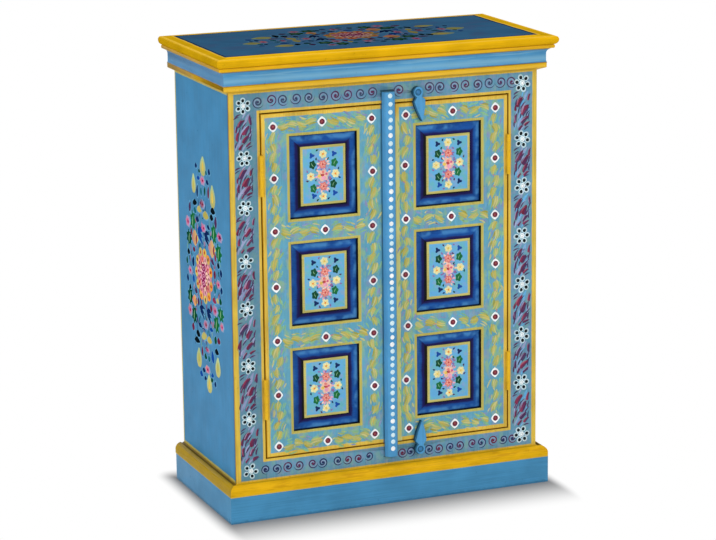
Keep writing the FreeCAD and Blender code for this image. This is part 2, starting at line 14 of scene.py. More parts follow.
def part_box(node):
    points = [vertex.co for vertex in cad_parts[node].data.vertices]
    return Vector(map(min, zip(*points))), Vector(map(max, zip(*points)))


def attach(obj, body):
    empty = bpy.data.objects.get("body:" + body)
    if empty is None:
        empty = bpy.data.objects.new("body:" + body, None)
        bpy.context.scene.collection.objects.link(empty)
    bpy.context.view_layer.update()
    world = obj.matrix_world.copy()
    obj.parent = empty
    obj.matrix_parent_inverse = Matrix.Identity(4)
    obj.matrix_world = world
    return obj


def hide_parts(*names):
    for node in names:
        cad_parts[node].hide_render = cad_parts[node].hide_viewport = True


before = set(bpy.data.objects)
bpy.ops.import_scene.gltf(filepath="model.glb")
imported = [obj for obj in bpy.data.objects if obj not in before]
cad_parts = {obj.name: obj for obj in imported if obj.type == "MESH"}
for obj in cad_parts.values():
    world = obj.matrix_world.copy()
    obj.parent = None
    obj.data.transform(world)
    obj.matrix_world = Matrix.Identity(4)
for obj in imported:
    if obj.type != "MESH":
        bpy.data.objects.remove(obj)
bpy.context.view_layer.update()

LOG = logging.getLogger("painted_cabinet")
MM = 0.001
# The top board's upper face lies this much under its node's, so that the garland's paint
# stays inside the cabinet's height.
TOP_SINK = 0.25

Colour = tuple[float, float, float]
Point = tuple[float, float]
Size = float | tuple[float, float, float]
Finish = bpy.types.Material
Piece = bpy.types.Object
Shape = bmesh.types.BMesh


# Paints and places

def srgb(code: str) -> Colour:
    """The linear light of a colour that is written as sRGB hex."""
    parts = [int(code[at:at + 2], 16) / 255 for at in (0, 2, 4)]
    return tuple(p / 12.92 if p <= 0.04045 else ((p + 0.055) / 1.055) ** 2.4 for p in parts)


class Pot(tuple, Enum):
    """The painter's pots, each of which is its colour."""

    BODY_BLUE = srgb("458ab4")
    SIDE_BLUE = srgb("3b84b2")
    COVE_BLUE = srgb("4f95c4")
    COVE_LIGHT = srgb("86b8d0")
    TOP_BLUE = srgb("2c5372")
    STRIP_BLUE = srgb("549acc")
    STRIP_SHADE = srgb("3f7cae")
    EDGE_TEAL = srgb("1d5470")
    STRIP_SHADOW = srgb("2c6a94")
    STRIP_RIGHT_SHADE = srgb("5a8290")
    DEEP_TEAL = srgb("103848")
    FRAME_BLUE = srgb("5f94ae")
    FRAME_LILAC = srgb("8790b8")
    FRAME_SHADE = srgb("527e8c")
    DOOR_BLUE = srgb("60a0b8")
    DOOR_SAGE = srgb("8fb488")
    FIELD_BLUE = srgb("66aede")
    FIELD_TEAL = srgb("6bb6c4")
    BACK_BLUE = srgb("4f8aa8")
    YELLOW = srgb("dfac12")
    BAND_YELLOW = srgb("d6b648")
    COLLAR_YELLOW = srgb("e0b024")
    SHADED_YELLOW = srgb("b9900c")
    SIDE_GOLD = srgb("ac8b0e")
    LIGHT_YELLOW = srgb("ecc24a")
    DEEP_YELLOW = srgb("bd880c")
    OCHRE = srgb("8a6608")
    DARK_OCHRE = srgb("5d4606")
    LINE_GOLD = srgb("bdb25c")
    PALE_YELLOW = srgb("d8b64a")
    BAND_PALE = srgb("ccd08a")
    BEVEL_NAVY = srgb("05080f")
    BEVEL_PURPLE = srgb("15104e")
    BEVEL_ULTRA = srgb("124c98")
    BEVEL_LIGHT = srgb("4c90cc")
    WHITE = srgb("f4f8f8")
    ICE = srgb("d4eef5")
    GREY_WHITE = srgb("b5cdd6")
    BLACK = srgb("0b161c")
    CRIMSON = srgb("8c3150")
    MAROON = srgb("6c2340")
    ROSE_RED = srgb("a85a70")
    DIAMOND_RED = srgb("6a2c38")
    DIAMOND_CORE = srgb("94484a")
    DARK_PLUM = srgb("4f3058")
    LILAC = srgb("9aa3c8")
    SCROLL = srgb("3d4463")
    SCROLL_DARK = srgb("28305a")
    SCROLL_WINE = srgb("5c2b50")
    LEAF_GOLD = srgb("bfb25a")
    LEAF_KHAKI = srgb("a4ac70")
    LEAF_STRAW = srgb("c3bf82")
    LEAF_LIME = srgb("9cb674")
    LEAF_OLIVE = srgb("a3a04a")
    LEAF_SAGE = srgb("86b88c")
    CREAM = srgb("f3ecb4")
    CREAM_DEEP = srgb("e6c45a")
    SALMON = srgb("e8837b")
    SALMON_DEEP = srgb("c94f4d")
    PINK = srgb("eca3bf")
    PETAL = srgb("c47a98")
    ROSE = srgb("d9628f")
    SHELL = srgb("f6cdb6")
    DUSTY_ROSE = srgb("bd7f86")
    MAGENTA = srgb("8a1f55")
    ORANGE = srgb("ee8f28")
    RED = srgb("c0342c")
    DROP = srgb("c0b76a")
    DROP_EDGE = srgb("b7cf98")
    HALO = srgb("68a4ca")
    GREEN = srgb("1a6c3c")
    DARK_GREEN = srgb("0f4a30")
    NAVY = srgb("132a5c")
    ROYAL = srgb("184a9e")
    TEAL = srgb("1c6a78")
    MAUVE = srgb("8d6ba6")
    WALNUT = srgb("6b4a2f")
    PINE = srgb("8c6a44")
    STEEL = srgb("a3a3a3")
    FLOOR = srgb("f2f2f2")
    # The floor's grey near the plinth, as the camera sees it: a painted contact shadow.
    FLOOR_SHADE = srgb("7e7e80")


def toned(colour: Colour, factor: float) -> Colour:
    """The colour lightened or darkened by a factor."""
    return tuple(min(1.0, c * factor) for c in colour)


def mixed(first: Colour, second: Colour, share: float) -> Colour:
    """The colour that lies a share of the way from first to second."""
    return tuple(a + (b - a) * share for a, b in zip(first, second))


@dataclass(frozen=True)
class Plan:
    """Places on the cabinet in millimetres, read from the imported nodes."""

    half_case: float
    front: float
    back: float
    top: float
    half_opening: float
    opening_low: float
    opening_high: float
    door_face: float
    sights: tuple[tuple[float, float], ...]
    sight_across: tuple[float, float]
    plinth_top: float
    cornice_foot: float
    strip_edges: tuple[float, float]
    strip_span: tuple[float, float]
    strip_crown: float

    @classmethod
    def read(cls) -> "Plan":
        """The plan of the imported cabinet."""
        def at(node: str) -> tuple[Vector, Vector]:
            """A node's lowest and highest corners in millimetres."""
            low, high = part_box(node)
            return low / MM, high / MM

        rails = [at(f"right_door_rail_{n}") for n in (1, 2, 3, 4)]
        hinge, meeting = at("right_door_hinge_stile"), at("right_door_meeting_stile")
        strip = at("centre_strip")
        stile = at("right_frame_stile")
        return cls(
            half_case=stile[1].x, front=stile[0].y, back=at("right_side")[1].y,
            top=at("top_board")[1].z, half_opening=stile[0].x,
            opening_low=at("bottom_rail")[1].z, opening_high=at("header_rail")[0].z,
            door_face=hinge[0].y,
            sights=tuple((low[1].z, high[0].z) for low, high in zip(rails, rails[1:])),
            sight_across=(meeting[1].x, hinge[0].x),
            plinth_top=at("plinth_moulding_front")[1].z,
            cornice_foot=at("cornice_front")[0].z,
            strip_edges=(strip[0].x, strip[1].x), strip_span=(strip[0].z, strip[1].z),
            strip_crown=strip[0].y)

    @property
    def sight_half(self) -> Point:
        """Half the width and height of a panel's sight."""
        low, high = self.sight_across
        return (high - low) / 2, (self.sights[0][1] - self.sights[0][0]) / 2


# Shader maths

class Wire:
    """An output socket on which arithmetic adds Math nodes."""

    def __init__(self, bench: "Bench", socket: bpy.types.NodeSocket) -> None:
        """The wire of an output socket of a node on a bench."""
        self.bench = bench
        self.socket = socket

    def _math(self, operation: str, first: object, second: object = 0.0,
              third: object = 0.0) -> "Wire":
        """One Math node on values or wires."""
        return self.bench.node("ShaderNodeMath", {"operation": operation}, {
            0: first, 1: second, 2: third})

    def __add__(self, other: object) -> "Wire":
        """The sum."""
        return self._math("ADD", self, other)

    __radd__ = __add__

    def __mul__(self, other: object) -> "Wire":
        """The product."""
        return self._math("MULTIPLY", self, other)

    __rmul__ = __mul__

    def __sub__(self, other: object) -> "Wire":
        """The difference."""
        return self._math("SUBTRACT", self, other)

    def __rsub__(self, other: object) -> "Wire":
        """The difference from another value."""
        return self._math("SUBTRACT", other, self)

    def __pow__(self, other: object) -> "Wire":
        """The power."""
        return self._math("POWER", self, other)

    def __abs__(self) -> "Wire":
        """The size without its sign."""
        return self._math("ABSOLUTE", self)

    def least(self, other: object) -> "Wire":
        """The smaller of the two."""
        return self._math("MINIMUM", self, other)

    def most(self, other: object) -> "Wire":
        """The larger of the two."""
        return self._math("MAXIMUM", self, other)

    def wrapped(self, low: float, high: float) -> "Wire":
        """The value carried back into the range by whole lengths of it."""
        return self._math("WRAP", self, high, low)


class Bench:
    """The nodes of one material, or of the world."""

    def __init__(self, name: str, owners: str = "materials") -> None:
        """Args:
            name: The name of the material or the world.
            owners: What is made, materials or worlds.
        """
        self.owner = getattr(bpy.data, owners).new(name)
        self.owner.use_nodes = True
        self.tree = self.owner.node_tree
        self.tree.nodes.clear()
        self._where: Wire | None = None

    def node(self, kind: str, settings: dict | None = None, inputs: dict | None = None,
             output: int | str = 0) -> Wire:
        """Adds a node.

        Args:
            kind: The node's type.
            settings: Its properties.
            inputs: Values or wires by socket.
            output: The socket that is handed back.

        Returns:
            The wire of that output.
        """
        made = self.tree.nodes.new(kind)
        for name, value in (settings or {}).items():
            setattr(made, name, value)
        for key, value in (inputs or {}).items():
            socket = made.inputs[key]
            if isinstance(value, Wire):
                self.tree.links.new(value.socket, socket)
            elif isinstance(value, tuple) and len(value) == 3 and socket.type == "RGBA":
                socket.default_value = (*value, 1.0)
            else:
                socket.default_value = value
        return Wire(self, made.outputs[output])

    @property
    def where(self) -> Wire:
        """Object coordinates, which are the cabinet's own in metres."""
        if self._where is None:
            self._where = self.node("ShaderNodeTexCoord", output="Object")
        return self._where

    def axes(self) -> tuple[Wire, Wire, Wire]:
        """X, Y and Z in millimetres."""
        split = self.node("ShaderNodeSeparateXYZ", inputs={0: self.where})
        sockets = split.socket.node.outputs
        return tuple(Wire(self, sockets[n]) * (1 / MM) for n in range(3))

    def noise(self, size: Size, detail: float = 2.0, shift: float = 0.0) -> Wire:
        """Noise about 0.5.

        Args:
            size: Millimetres of its blots, one for each axis where they are drawn out.
            detail: Its octaves.
            shift: Moves the pattern, so that two noises differ.

        Returns:
            The wire of the noise.
        """
        sizes = size if isinstance(size, tuple) else (size, size, size)
        stretched = self.node("ShaderNodeVectorMath", {"operation": "MULTIPLY_ADD"}, {
            0: self.where, 1: tuple(1 / (s * MM) for s in sizes), 2: (shift, shift, shift)})
        return self.node("ShaderNodeTexNoise", {}, {
            "Vector": stretched, "Scale": 1.0, "Detail": detail, "Roughness": 0.55})

    def wander(self, size: float, reach: float, shift: float) -> Wire:
        """A hand-drawn line's swerve, of blots of a size and of up to reach either way."""
        return (self.noise(size, 2.0, shift) - 0.5) * (2 * reach)

    def rise(self, value: Wire, low: float, high: float) -> Wire:
        """A smooth rise from 0 at low to 1 at high."""
        return self.node("ShaderNodeMapRange", {"interpolation_type": "SMOOTHSTEP"}, {
            "Value": value, "From Min": low, "From Max": high})

    def fall(self, value: Wire, low: float, high: float) -> Wire:
        """A smooth fall from 1 at low to 0 at high."""
        return 1 - self.rise(value, low, high)

    def past(self, value: Wire, place: float, soft: float = 0.6) -> Wire:
        """0 before a place and 1 past it, with a step that is soft by so much either way."""
        return self.rise(value, place - soft, place + soft)

    def upto(self, value: Wire, place: float, soft: float = 0.6) -> Wire:
        """1 before a place and 0 past it."""
        return 1 - self.past(value, place, soft)

    def band(self, value: Wire, low: float, high: float, soft: float = 0.6) -> Wire:
        """1 between low and high, with soft ends."""
        return self.past(value, low, soft) * self.upto(value, high, soft)

    def patches(self, size: Size, detail: float, shift: float, low: float, high: float) -> Wire:
        """Soft patches: 0 where the noise lies under low, and 1 where it lies over high."""
        return self.rise(self.noise(size, detail, shift), low, high)

    def mix(self, share: Wire | float, first: Wire | Colour, second: Wire | Colour) -> Wire:
        """A colour a share of the way from first to second."""
        return self.node("ShaderNodeMix", {"data_type": "RGBA"}, {
            0: share, 6: first, 7: second}, 2)

    def layered(self, ground: Wire | Colour, *layers: tuple[Wire, Wire | Colour]) -> Wire:
        """The ground under layers, each of which is its share and its colour."""
        for share, colour in layers:
            ground = self.mix(share, ground, colour)
        return ground

    def scaled(self, colour: Wire, factor: Wire) -> Wire:
        """A colour times a number."""
        return self.node("ShaderNodeVectorMath", {"operation": "SCALE"}, {
            0: colour, "Scale": factor})

    def surface(self, colour: Wire | Colour, roughness: Wire | float, height: Wire, relief: float,
                constants: dict | None = None) -> Wire:
        """The shader of a surface.

        Args:
            colour: Base colour.
            roughness: Roughness.
            height: Height for the bump, from 0 to 1.
            relief: Millimetres from the lowest to the highest point of the bump.
            constants: Further values for the shader's own sockets.

        Returns:
            The shader.
        """
        bump = self.node("ShaderNodeBump", {}, {
            "Height": height, "Strength": 1.0, "Distance": relief * MM})
        return self.node("ShaderNodeBsdfPrincipled", {}, {
            "Base Color": colour, "Roughness": roughness, "Normal": bump, **(constants or {})})

    def show(self, shader: Wire, output: str = "ShaderNodeOutputMaterial") -> bpy.types.ID:
        """Puts the shader on the output and hands back the material or the world."""
        out = self.tree.nodes.new(output)
        self.tree.links.new(shader.socket, out.inputs["Surface"])
        return self.owner

    def ray(self, *kinds: str) -> Wire:
        """1 for rays of any of the kinds."""
        wires = [self.node("ShaderNodeLightPath", output=f"Is {kind} Ray") for kind in kinds]
        return functools.reduce(Wire.most, wires)


class Along(Enum):
    """The way that the brush was drawn, as the length of its streaks on each axis."""

    ACROSS = (80.0, 1.8, 1.8)
    UPRIGHT = (1.8, 1.8, 80.0)
    DEEP = (1.8, 80.0, 1.8)


@dataclass(frozen=True)
class BrushedPaint:
    """Oil paint laid with a flat brush, with streaks, blots, small scuffs and a satin sheen.

    The sheen is its mean roughness, the spread how far its streaks leave its colour, the
    relief their millimetres of height, and the dark foot how far above the floor it is darker.
    """

    name: str
    pot: Pot
    along: Along = Along.ACROSS
    sheen: float = 0.36
    specular: float = 0.12
    spread: float = 0.14
    relief: float = 0.10
    dark_foot: float = 7.0
    plan: Plan | None = None

    def coat(self, bench: Bench, pot: Pot | None = None, spread: float | None = None) -> Wire:
        """The streaked colour of one pot.

        Args:
            bench: The bench of the material.
            pot: The pot, if not the finish's own.
            spread: How far the streaks leave the pot's colour, if not as the finish's own do.

        Returns:
            The colour.
        """
        base = pot or self.pot
        reach = self.spread if spread is None else spread
        streaks = bench.noise(self.along.value, 3.0)
        blots = bench.noise(60.0, 2.0, 7.0)
        share = bench.rise(streaks * 0.5 + blots * 0.5, 0.3, 0.7)
        return bench.mix(share, toned(base, 1 - reach), toned(base, 1 + reach))

    def coloured(self, bench: Bench) -> Wire:
        """The colour of the whole surface, here one coat."""
        return self.coat(bench)

    def build(self) -> Finish:
        """The finished material."""
        bench = Bench(self.name)
        colour = self.coloured(bench)
        scuffs = bench.patches(7.0, 3.0, 17.0, 0.66, 0.72)
        height = bench.axes()[2] + bench.wander(9.0, 3.0, 19.0)
        # Darker along the bottom few millimetres over the floor.
        foot = bench.fall(height, 1.0, self.dark_foot)
        worn = bench.scaled(colour, 1 - scuffs * 0.16 - foot * 0.35)
        streaks = bench.noise(self.along.value, 2.0, 3.0)
        grit = bench.noise(2.5, 1.0)
        relief = streaks * 0.7 + grit * 0.3 - scuffs * 0.4
        roughness = (bench.noise(30.0, 2.0, 5.0) * 0.16 + (self.sheen - 0.08)
                     + scuffs * 0.15)
        return bench.show(bench.surface(
            worn, roughness, relief, self.relief, {"Specular IOR Level": self.specular}))


@dataclass(frozen=True)
class SidePaint(BrushedPaint):
    """Side of the case: blue, with a yellow band at the front corner and thin yellow lines.

    The fields are the widths of its lines, its band and the darker teal band beside it.
    """

    board: float = 11.0
    rear: float = 5.1
    foot: float = 4.4
    above: float = 3.9
    corner: float = 3.3
    dark_band: float = 8.0

    def coloured(self, bench: Bench) -> Wire:
        """Blue inside its yellow lines."""
        plan = self.plan
        x, y, z = bench.axes()
        wander = bench.wander(14.0, 1.1, 11.0)
        outside = bench.upto(plan.half_case - abs(x), self.board, 1.0)
        depth, height = y + wander, z + wander
        rear = bench.past(depth, plan.back - self.rear, 0.5)
        foot = bench.band(height, plan.plinth_top - 1.0, plan.plinth_top + self.foot)
        above = bench.past(height, plan.cornice_foot - self.above, 0.5)
        lines = (rear.most(foot) * outside).most(above)
        corner = bench.upto(depth, plan.front + self.corner, 0.7) * outside
        dark_band = bench.band(depth, plan.front + 2.6, plan.front + self.dark_band, 1.5) * outside
        return bench.layered(self.coat(bench), (lines, self.coat(bench, Pot.LINE_GOLD)),
                             (dark_band * 0.7, Pot.EDGE_TEAL),
                             (corner, self.coat(bench, Pot.SHADED_YELLOW)))


@dataclass(frozen=True)
class FramePaint(BrushedPaint):
    """Face frame: grey blue between a yellow outer border and a yellow line round the opening.

    The fields are the widths of the border and of the line.
    """

    border: float = 9.5
    above: float = 2.6
    below: float = 3.0
    line: float = 5.8
    shaded_from: float = -225.0

    def coloured(self, bench: Bench) -> Wire:
        """Grey blue with lilac mottling, inside its yellow lines."""
        plan = self.plan
        x, _, z = bench.axes()
        wander = bench.wander(12.0, 1.0, 2.0)
        height = z + wander * 0.5
        border = bench.past(abs(x) + wander, plan.half_case - self.border, 0.7)
        border = border.most(bench.past(height, plan.cornice_foot - self.above, 0.4))
        border = border.most(bench.upto(height, plan.plinth_top + self.below, 0.4))
        beyond = (abs(x) - plan.half_opening).most(
            (z - plan.opening_high).most(plan.opening_low - z))
        line = bench.upto(beyond + wander * 0.6, self.line)
        mottle = bench.patches((9.0, 9.0, 11.0), 3.0, 21.0, 0.44, 0.66)
        haze = bench.patches((15.0, 15.0, 25.0), 2.0, 33.0, 0.46, 0.7)
        shaded = bench.fall(x, self.shaded_from - 35.0, self.shaded_from)
        yellow = bench.mix(bench.past(beyond, 0.8), Pot.OCHRE,
                           self.coat(bench, Pot.PALE_YELLOW))
        left, right = plan.strip_edges
        low, high = plan.strip_span
        # Painted shadow round the two ends of the centre strip, on the header and the bottom rail.
        ends = bench.band(height, high + 0.2, high + 3.4).most(
            bench.band(height, low - 2.0, low - 0.4))
        strip_end_shadow = bench.band(x + wander, left - 2.0, right + 1.0) * ends
        return bench.layered(
            self.coat(bench), (mottle * 0.5, Pot.FRAME_LILAC), (haze * 0.35, Pot.DOOR_SAGE),
            (shaded * 0.45, Pot.FRAME_SHADE), (line, yellow), (strip_end_shadow * 0.8, Pot.DEEP_TEAL),
            (border, self.coat(bench, Pot.BAND_YELLOW, 0.2)))


@dataclass(frozen=True)
class DoorPaint(BrushedPaint):
    """Door frame: blue with soft smudges, yellow round the edge and gold round each recess.

    The right door has a paler band beside the strip and the left one a painted shadow beside it;
    the recess walls are painted dark as shade, and both are plain blue further back.
    """

    strip_edge: float = 0.0
    side: int = 1
    face_depth: float = 11.5
    edge: float = 9.3
    line: float = 5.0
    beside: float = 10.5

    def panel_axes(self, bench: Bench) -> tuple[Wire, Wire, Wire]:
        """Across and up from the nearest panel's middle, and Y."""
        plan = self.plan
        x, y, z = bench.axes()
        low, high = plan.sight_across
        pitch = plan.sights[1][0] - plan.sights[0][0]
        middle = (plan.sights[0][0] + plan.sights[0][1]) / 2
        across = x - self.side * (low + high) / 2
        return across, (z - middle).wrapped(-pitch / 2, pitch / 2), y

    def behind(self, bench: Bench, y: Wire, face: Wire) -> Wire:
        """The face's colour in front, and plain blue on the door's edges and back."""
        back = bench.past(y, self.plan.door_face + self.face_depth, 0.5)
        return bench.mix(back, face, self.coat(bench, Pot.BACK_BLUE))

    def coloured(self, bench: Bench) -> Wire:
        """Blue with its lines on the face, and plain blue behind."""
        plan = self.plan
        x, _, z = bench.axes()
        across, up, y = self.panel_axes(bench)
        wander = bench.wander(12.0, 1.0, 4.0)
        outward = x * float(self.side)
        inward = (plan.half_opening - outward).least(
            (z - plan.opening_low).least(plan.opening_high - z))
        if self.side > 0:
            inward = inward.least(outward - self.strip_edge)
        edge = bench.upto(inward + wander, self.edge, 0.7)
        wide, tall = plan.sight_half
        beyond = (abs(across) - wide).most(abs(up) - tall)
        line = bench.band(beyond + wander * 0.5, -9.0, self.line)
        sage = bench.patches((13.0, 13.0, 22.0), 3.0, 31.0, 0.47, 0.66)
        lilac = bench.patches((14.0, 14.0, 26.0), 3.0, 43.0, 0.50, 0.68)
        light = bench.patches((9.0, 9.0, 16.0), 2.0, 13.0, 0.52, 0.7)
        # Painted shade on the walls of each recess.
        wall = bench.fall(beyond, 0.3, 1.2) * bench.past(y, plan.door_face + 1.1, 0.4)
        ground = bench.layered(
            self.coat(bench), (sage * 0.8, Pot.DOOR_SAGE), (lilac * 0.55, Pot.FRAME_LILAC),
            (light * 0.4, Pot.FIELD_BLUE), (line, self.coat(bench, Pot.LINE_GOLD)),
            (wall, Pot.BEVEL_NAVY))
        yellow = bench.mix(bench.rise(inward, 2.0, 3.6), Pot.DEEP_YELLOW,
                           self.coat(bench, Pot.PALE_YELLOW, 0.22))
        if self.side > 0:
            beside = bench.upto(outward - self.strip_edge, self.beside, 0.5)
            below = bench.rise(plan.opening_high - z + wander * 4.0, 14.0, 40.0)
            yellow = bench.mix(beside * below * 0.85, yellow, self.coat(bench, Pot.BAND_PALE))
        colour = bench.mix(edge, ground, yellow)
        if self.side < 0:
            # Painted shadow of the strip on the left door.
            dark_band = bench.fall(outward - self.strip_edge + wander * 0.4, 1.4, 3.4)
            colour = bench.mix(dark_band * 0.6, colour, Pot.STRIP_SHADOW)
        return self.behind(bench, y, colour)


@dataclass(frozen=True)
class PanelPaint(DoorPaint):
    """Raised panel: ultramarine bevel, dark by the field, and a light field in a yellow border."""

    margin: float = 22.4
    border: float = 4.7

    def coloured(self, bench: Bench) -> Wire:
        """Bevel, border and field by the distance from the field's edge."""
        across, up, y = self.panel_axes(bench)
        wide, tall = (half - self.margin for half in self.plan.sight_half)
        beyond_x, beyond_z = abs(across) - wide, abs(up) - tall
        beyond = beyond_x.most(beyond_z)
        leftward = bench.past((-1 * across - wide) - beyond_z, 0.0, 1.0)
        upward = bench.past((up - tall) - beyond_x, 0.0, 1.0)
        # Away from the field the bevel's own paint runs from navy to blue; on top of that the left
        # bevel is painted darker and the top one lighter, as painted shade and painted light.
        shade = beyond + bench.wander(26.0, 3.0, 9.0) - leftward * 2.5 + upward * 2.5
        streak = bench.patches(26.0, 2.0, 14.0, 0.36, 0.6) * (1 - leftward * 0.6)
        # The light streaks are dimmed on the left bevel as painted shade, and the last layer is a
        # painted shadow line where the bevel meets the door frame.
        bevel = bench.layered(
            Pot.BEVEL_NAVY, (bench.rise(shade, 1.0, 4.5), self.coat(bench, Pot.BEVEL_PURPLE)),
            (bench.rise(shade, 5.5, 11.0), self.coat(bench, Pot.BEVEL_ULTRA, 0.25)),
            (bench.band(shade, 13.5, 21.5, 3.0) * streak * 0.75, Pot.BEVEL_LIGHT),
            (bench.rise(beyond, 19.8, 21.2) * 0.85, Pot.BEVEL_NAVY))
        blots = bench.patches(15.0, 2.0, 8.0, 0.4, 0.66)
        lilac = bench.patches(12.0, 2.0, 26.0, 0.5, 0.7)
        rim = bench.past(beyond + bench.wander(10.0, 0.7, 6.0), -self.border, 0.5)
        inner = bench.layered(Pot.FIELD_BLUE, (blots, Pot.FIELD_TEAL), (lilac * 0.45, Pot.LILAC),
                              (rim, self.coat(bench, Pot.DROP, 0.2)))
        return self.behind(bench, y, bench.mix(bench.rise(beyond, -0.2, 0.3), inner, bevel))


@dataclass(frozen=True)
class TopPaint(BrushedPaint):
    """Top board: dark blue inside a yellow border that runs round the nose."""

    ends: float = 27.5
    fore: float = 35.0
    rear: float = 11.0

    def coloured(self, bench: Bench) -> Wire:
        """Dark blue with its border."""
        low, high = (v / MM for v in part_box("top_board"))
        x, y, z = bench.axes()
        wander = bench.wander(40.0, 2.0, 1.0)
        from_end, from_front = high.x - abs(x), y - low.y
        inward = (from_end - self.ends).least(from_front - self.fore)
        inward = inward.least((high.y - y) - self.rear) + wander
        edge = bench.upto(inward, 0.0, 0.9)
        outer = from_end.least(from_front)
        # A painted highlight along the crest of the nose.
        crest = bench.band(outer, 3.0, 8.5, 2.0) * bench.rise(z, high.z - 4.0, high.z - 1.0)
        line = bench.band(inward, -4.2, -0.6, 1.0)
        shaded = bench.past(from_front - from_end, 0.0, 1.0)
        yellow = bench.layered(
            self.coat(bench, Pot.YELLOW), (shaded * 0.8, self.coat(bench, Pot.SHADED_YELLOW)),
            (crest * 0.6, Pot.LIGHT_YELLOW), (line * 0.45, Pot.LIGHT_YELLOW))
        rim = bench.band(inward, 0.6, 5.0, 1.5)
        blots = bench.patches((60.0, 30.0, 60.0), 2.0, 30.0, 0.46, 0.66)
        return bench.layered(self.coat(bench), (blots * 0.3, Pot.SCROLL),
                             (rim * 0.7, Pot.BEVEL_NAVY), (edge, yellow))


@dataclass(frozen=True)
class CornicePaint(BrushedPaint):
    """Cornice: yellow collar and bead with the blue cove between them."""

    collar: float = 15.2
    bead: float = 41.4

    def coloured(self, bench: Bench) -> Wire:
        """Bands by height."""
        x, y, z = bench.axes()
        rise = z - self.plan.cornice_foot
        level = rise + bench.wander(18.0, 0.4, 5.0)
        low = bench.fall(level, self.collar - 0.2, self.collar + 0.5)
        high = bench.rise(level, self.bead - 0.2, self.bead + 0.5)
        # A darker ochre line along the collar's top, and a painted shadow under the bead.
        dark_band = bench.band(level, self.collar - 1.6, self.collar + 0.6, 0.5)
        shadow = bench.band(level, self.bead - 1.2, self.bead + 1.0, 0.5)
        streak = bench.patches((120.0, 120.0, 5.0), 2.0, 9.0, 0.5, 0.66)
        # The pale band low in the cove is a painted highlight; the streaks are random paler paint.
        pale = bench.band(rise, 20.0, 28.0, 5.0) * 0.6
        # The side runs are painted in darker yellow and blue as painted shade, and the collar's
        # front has a painted highlight.
        side = bench.past((abs(x) - self.plan.half_case) - (self.plan.front - y), 0.0)
        lit = bench.band(rise, 6.0, 10.5, 1.0) * (1 - side)
        yellow = bench.layered(
            self.coat(bench, Pot.YELLOW), (low, self.coat(bench, Pot.COLLAR_YELLOW)),
            (side * 0.8, self.coat(bench, Pot.SHADED_YELLOW)), (lit * 0.4, Pot.LIGHT_YELLOW))
        return bench.layered(
            self.coat(bench), ((streak * 0.5).most(pale), Pot.COVE_LIGHT),
            (side * 0.7, self.coat(bench, Pot.STRIP_SHADE)), (low.most(high), yellow),
            (dark_band.most(shadow) * 0.6, Pot.OCHRE))


@dataclass(frozen=True)
class MouldingPaint(BrushedPaint):
    """Plinth moulding: yellow nose and a darker hollow against the case."""

    hollow: float = 8.4
    rim: float = 18.6

    def coloured(self, bench: Bench) -> Wire:
        """Yellow, dark in the hollow."""
        plan = self.plan
        x, y, z = bench.axes()
        aside, ahead = abs(x) - plan.half_case, plan.front - y
        side = bench.past(aside - ahead, 0.0)
        swerve = aside.most(ahead) + bench.wander(24.0, 0.9, 5.0)
        hollow = bench.band(swerve, 1.0, self.hollow, 1.4)
        rim = bench.upto(z, plan.plinth_top - self.rim, 1.0)
        worn = bench.patches((50.0, 50.0, 7.0), 2.0, 9.0, 0.5, 0.66)
        front = bench.layered(self.coat(bench), (worn * 0.5, Pot.DEEP_YELLOW),
                              (rim * 0.5, Pot.BAND_YELLOW), (hollow * 0.75, Pot.SIDE_GOLD))
        # The side runs are painted in a darker gold, as painted shade.
        flank = bench.layered(self.coat(bench, Pot.SIDE_GOLD), (rim * 0.35, Pot.BAND_YELLOW),
                              (hollow * 0.8, Pot.DARK_OCHRE))
        return bench.mix(side, front, flank)


@dataclass(frozen=True)
class StripPaint(BrushedPaint):
    """Half-round strip with painted shade on its left flank and right edge, by the distance from
    its middle, and at its foot, by the distance from the door.
    """

    middle: float = 0.0
    face: float = 0.0
    flank: float = 8.5
    right: float = 10.0
    foot: float = 2.0

    def coloured(self, bench: Bench) -> Wire:
        """Mottled blue with painted shade at the foot, on the left flank and along the right edge.
        """
        x, y, _ = bench.axes()
        x, deep = x + bench.wander(20.0, 0.8, 5.0), y + bench.wander(14.0, 0.7, 8.0)
        flank = bench.upto(x, self.middle - self.flank, 2.5)
        foot = bench.past(deep, self.face - self.foot)
        right = bench.past(x, self.middle + self.right, 1.4)
        mottle = bench.patches((9.0, 9.0, 18.0), 2.0, 12.0, 0.48, 0.66)
        return bench.layered(self.coat(bench), (flank * 0.35, Pot.STRIP_SHADE),
                             (mottle * 0.3, Pot.BODY_BLUE), (right * 0.75, Pot.STRIP_RIGHT_SHADE),
                             (foot * 0.9, Pot.STRIP_SHADOW))


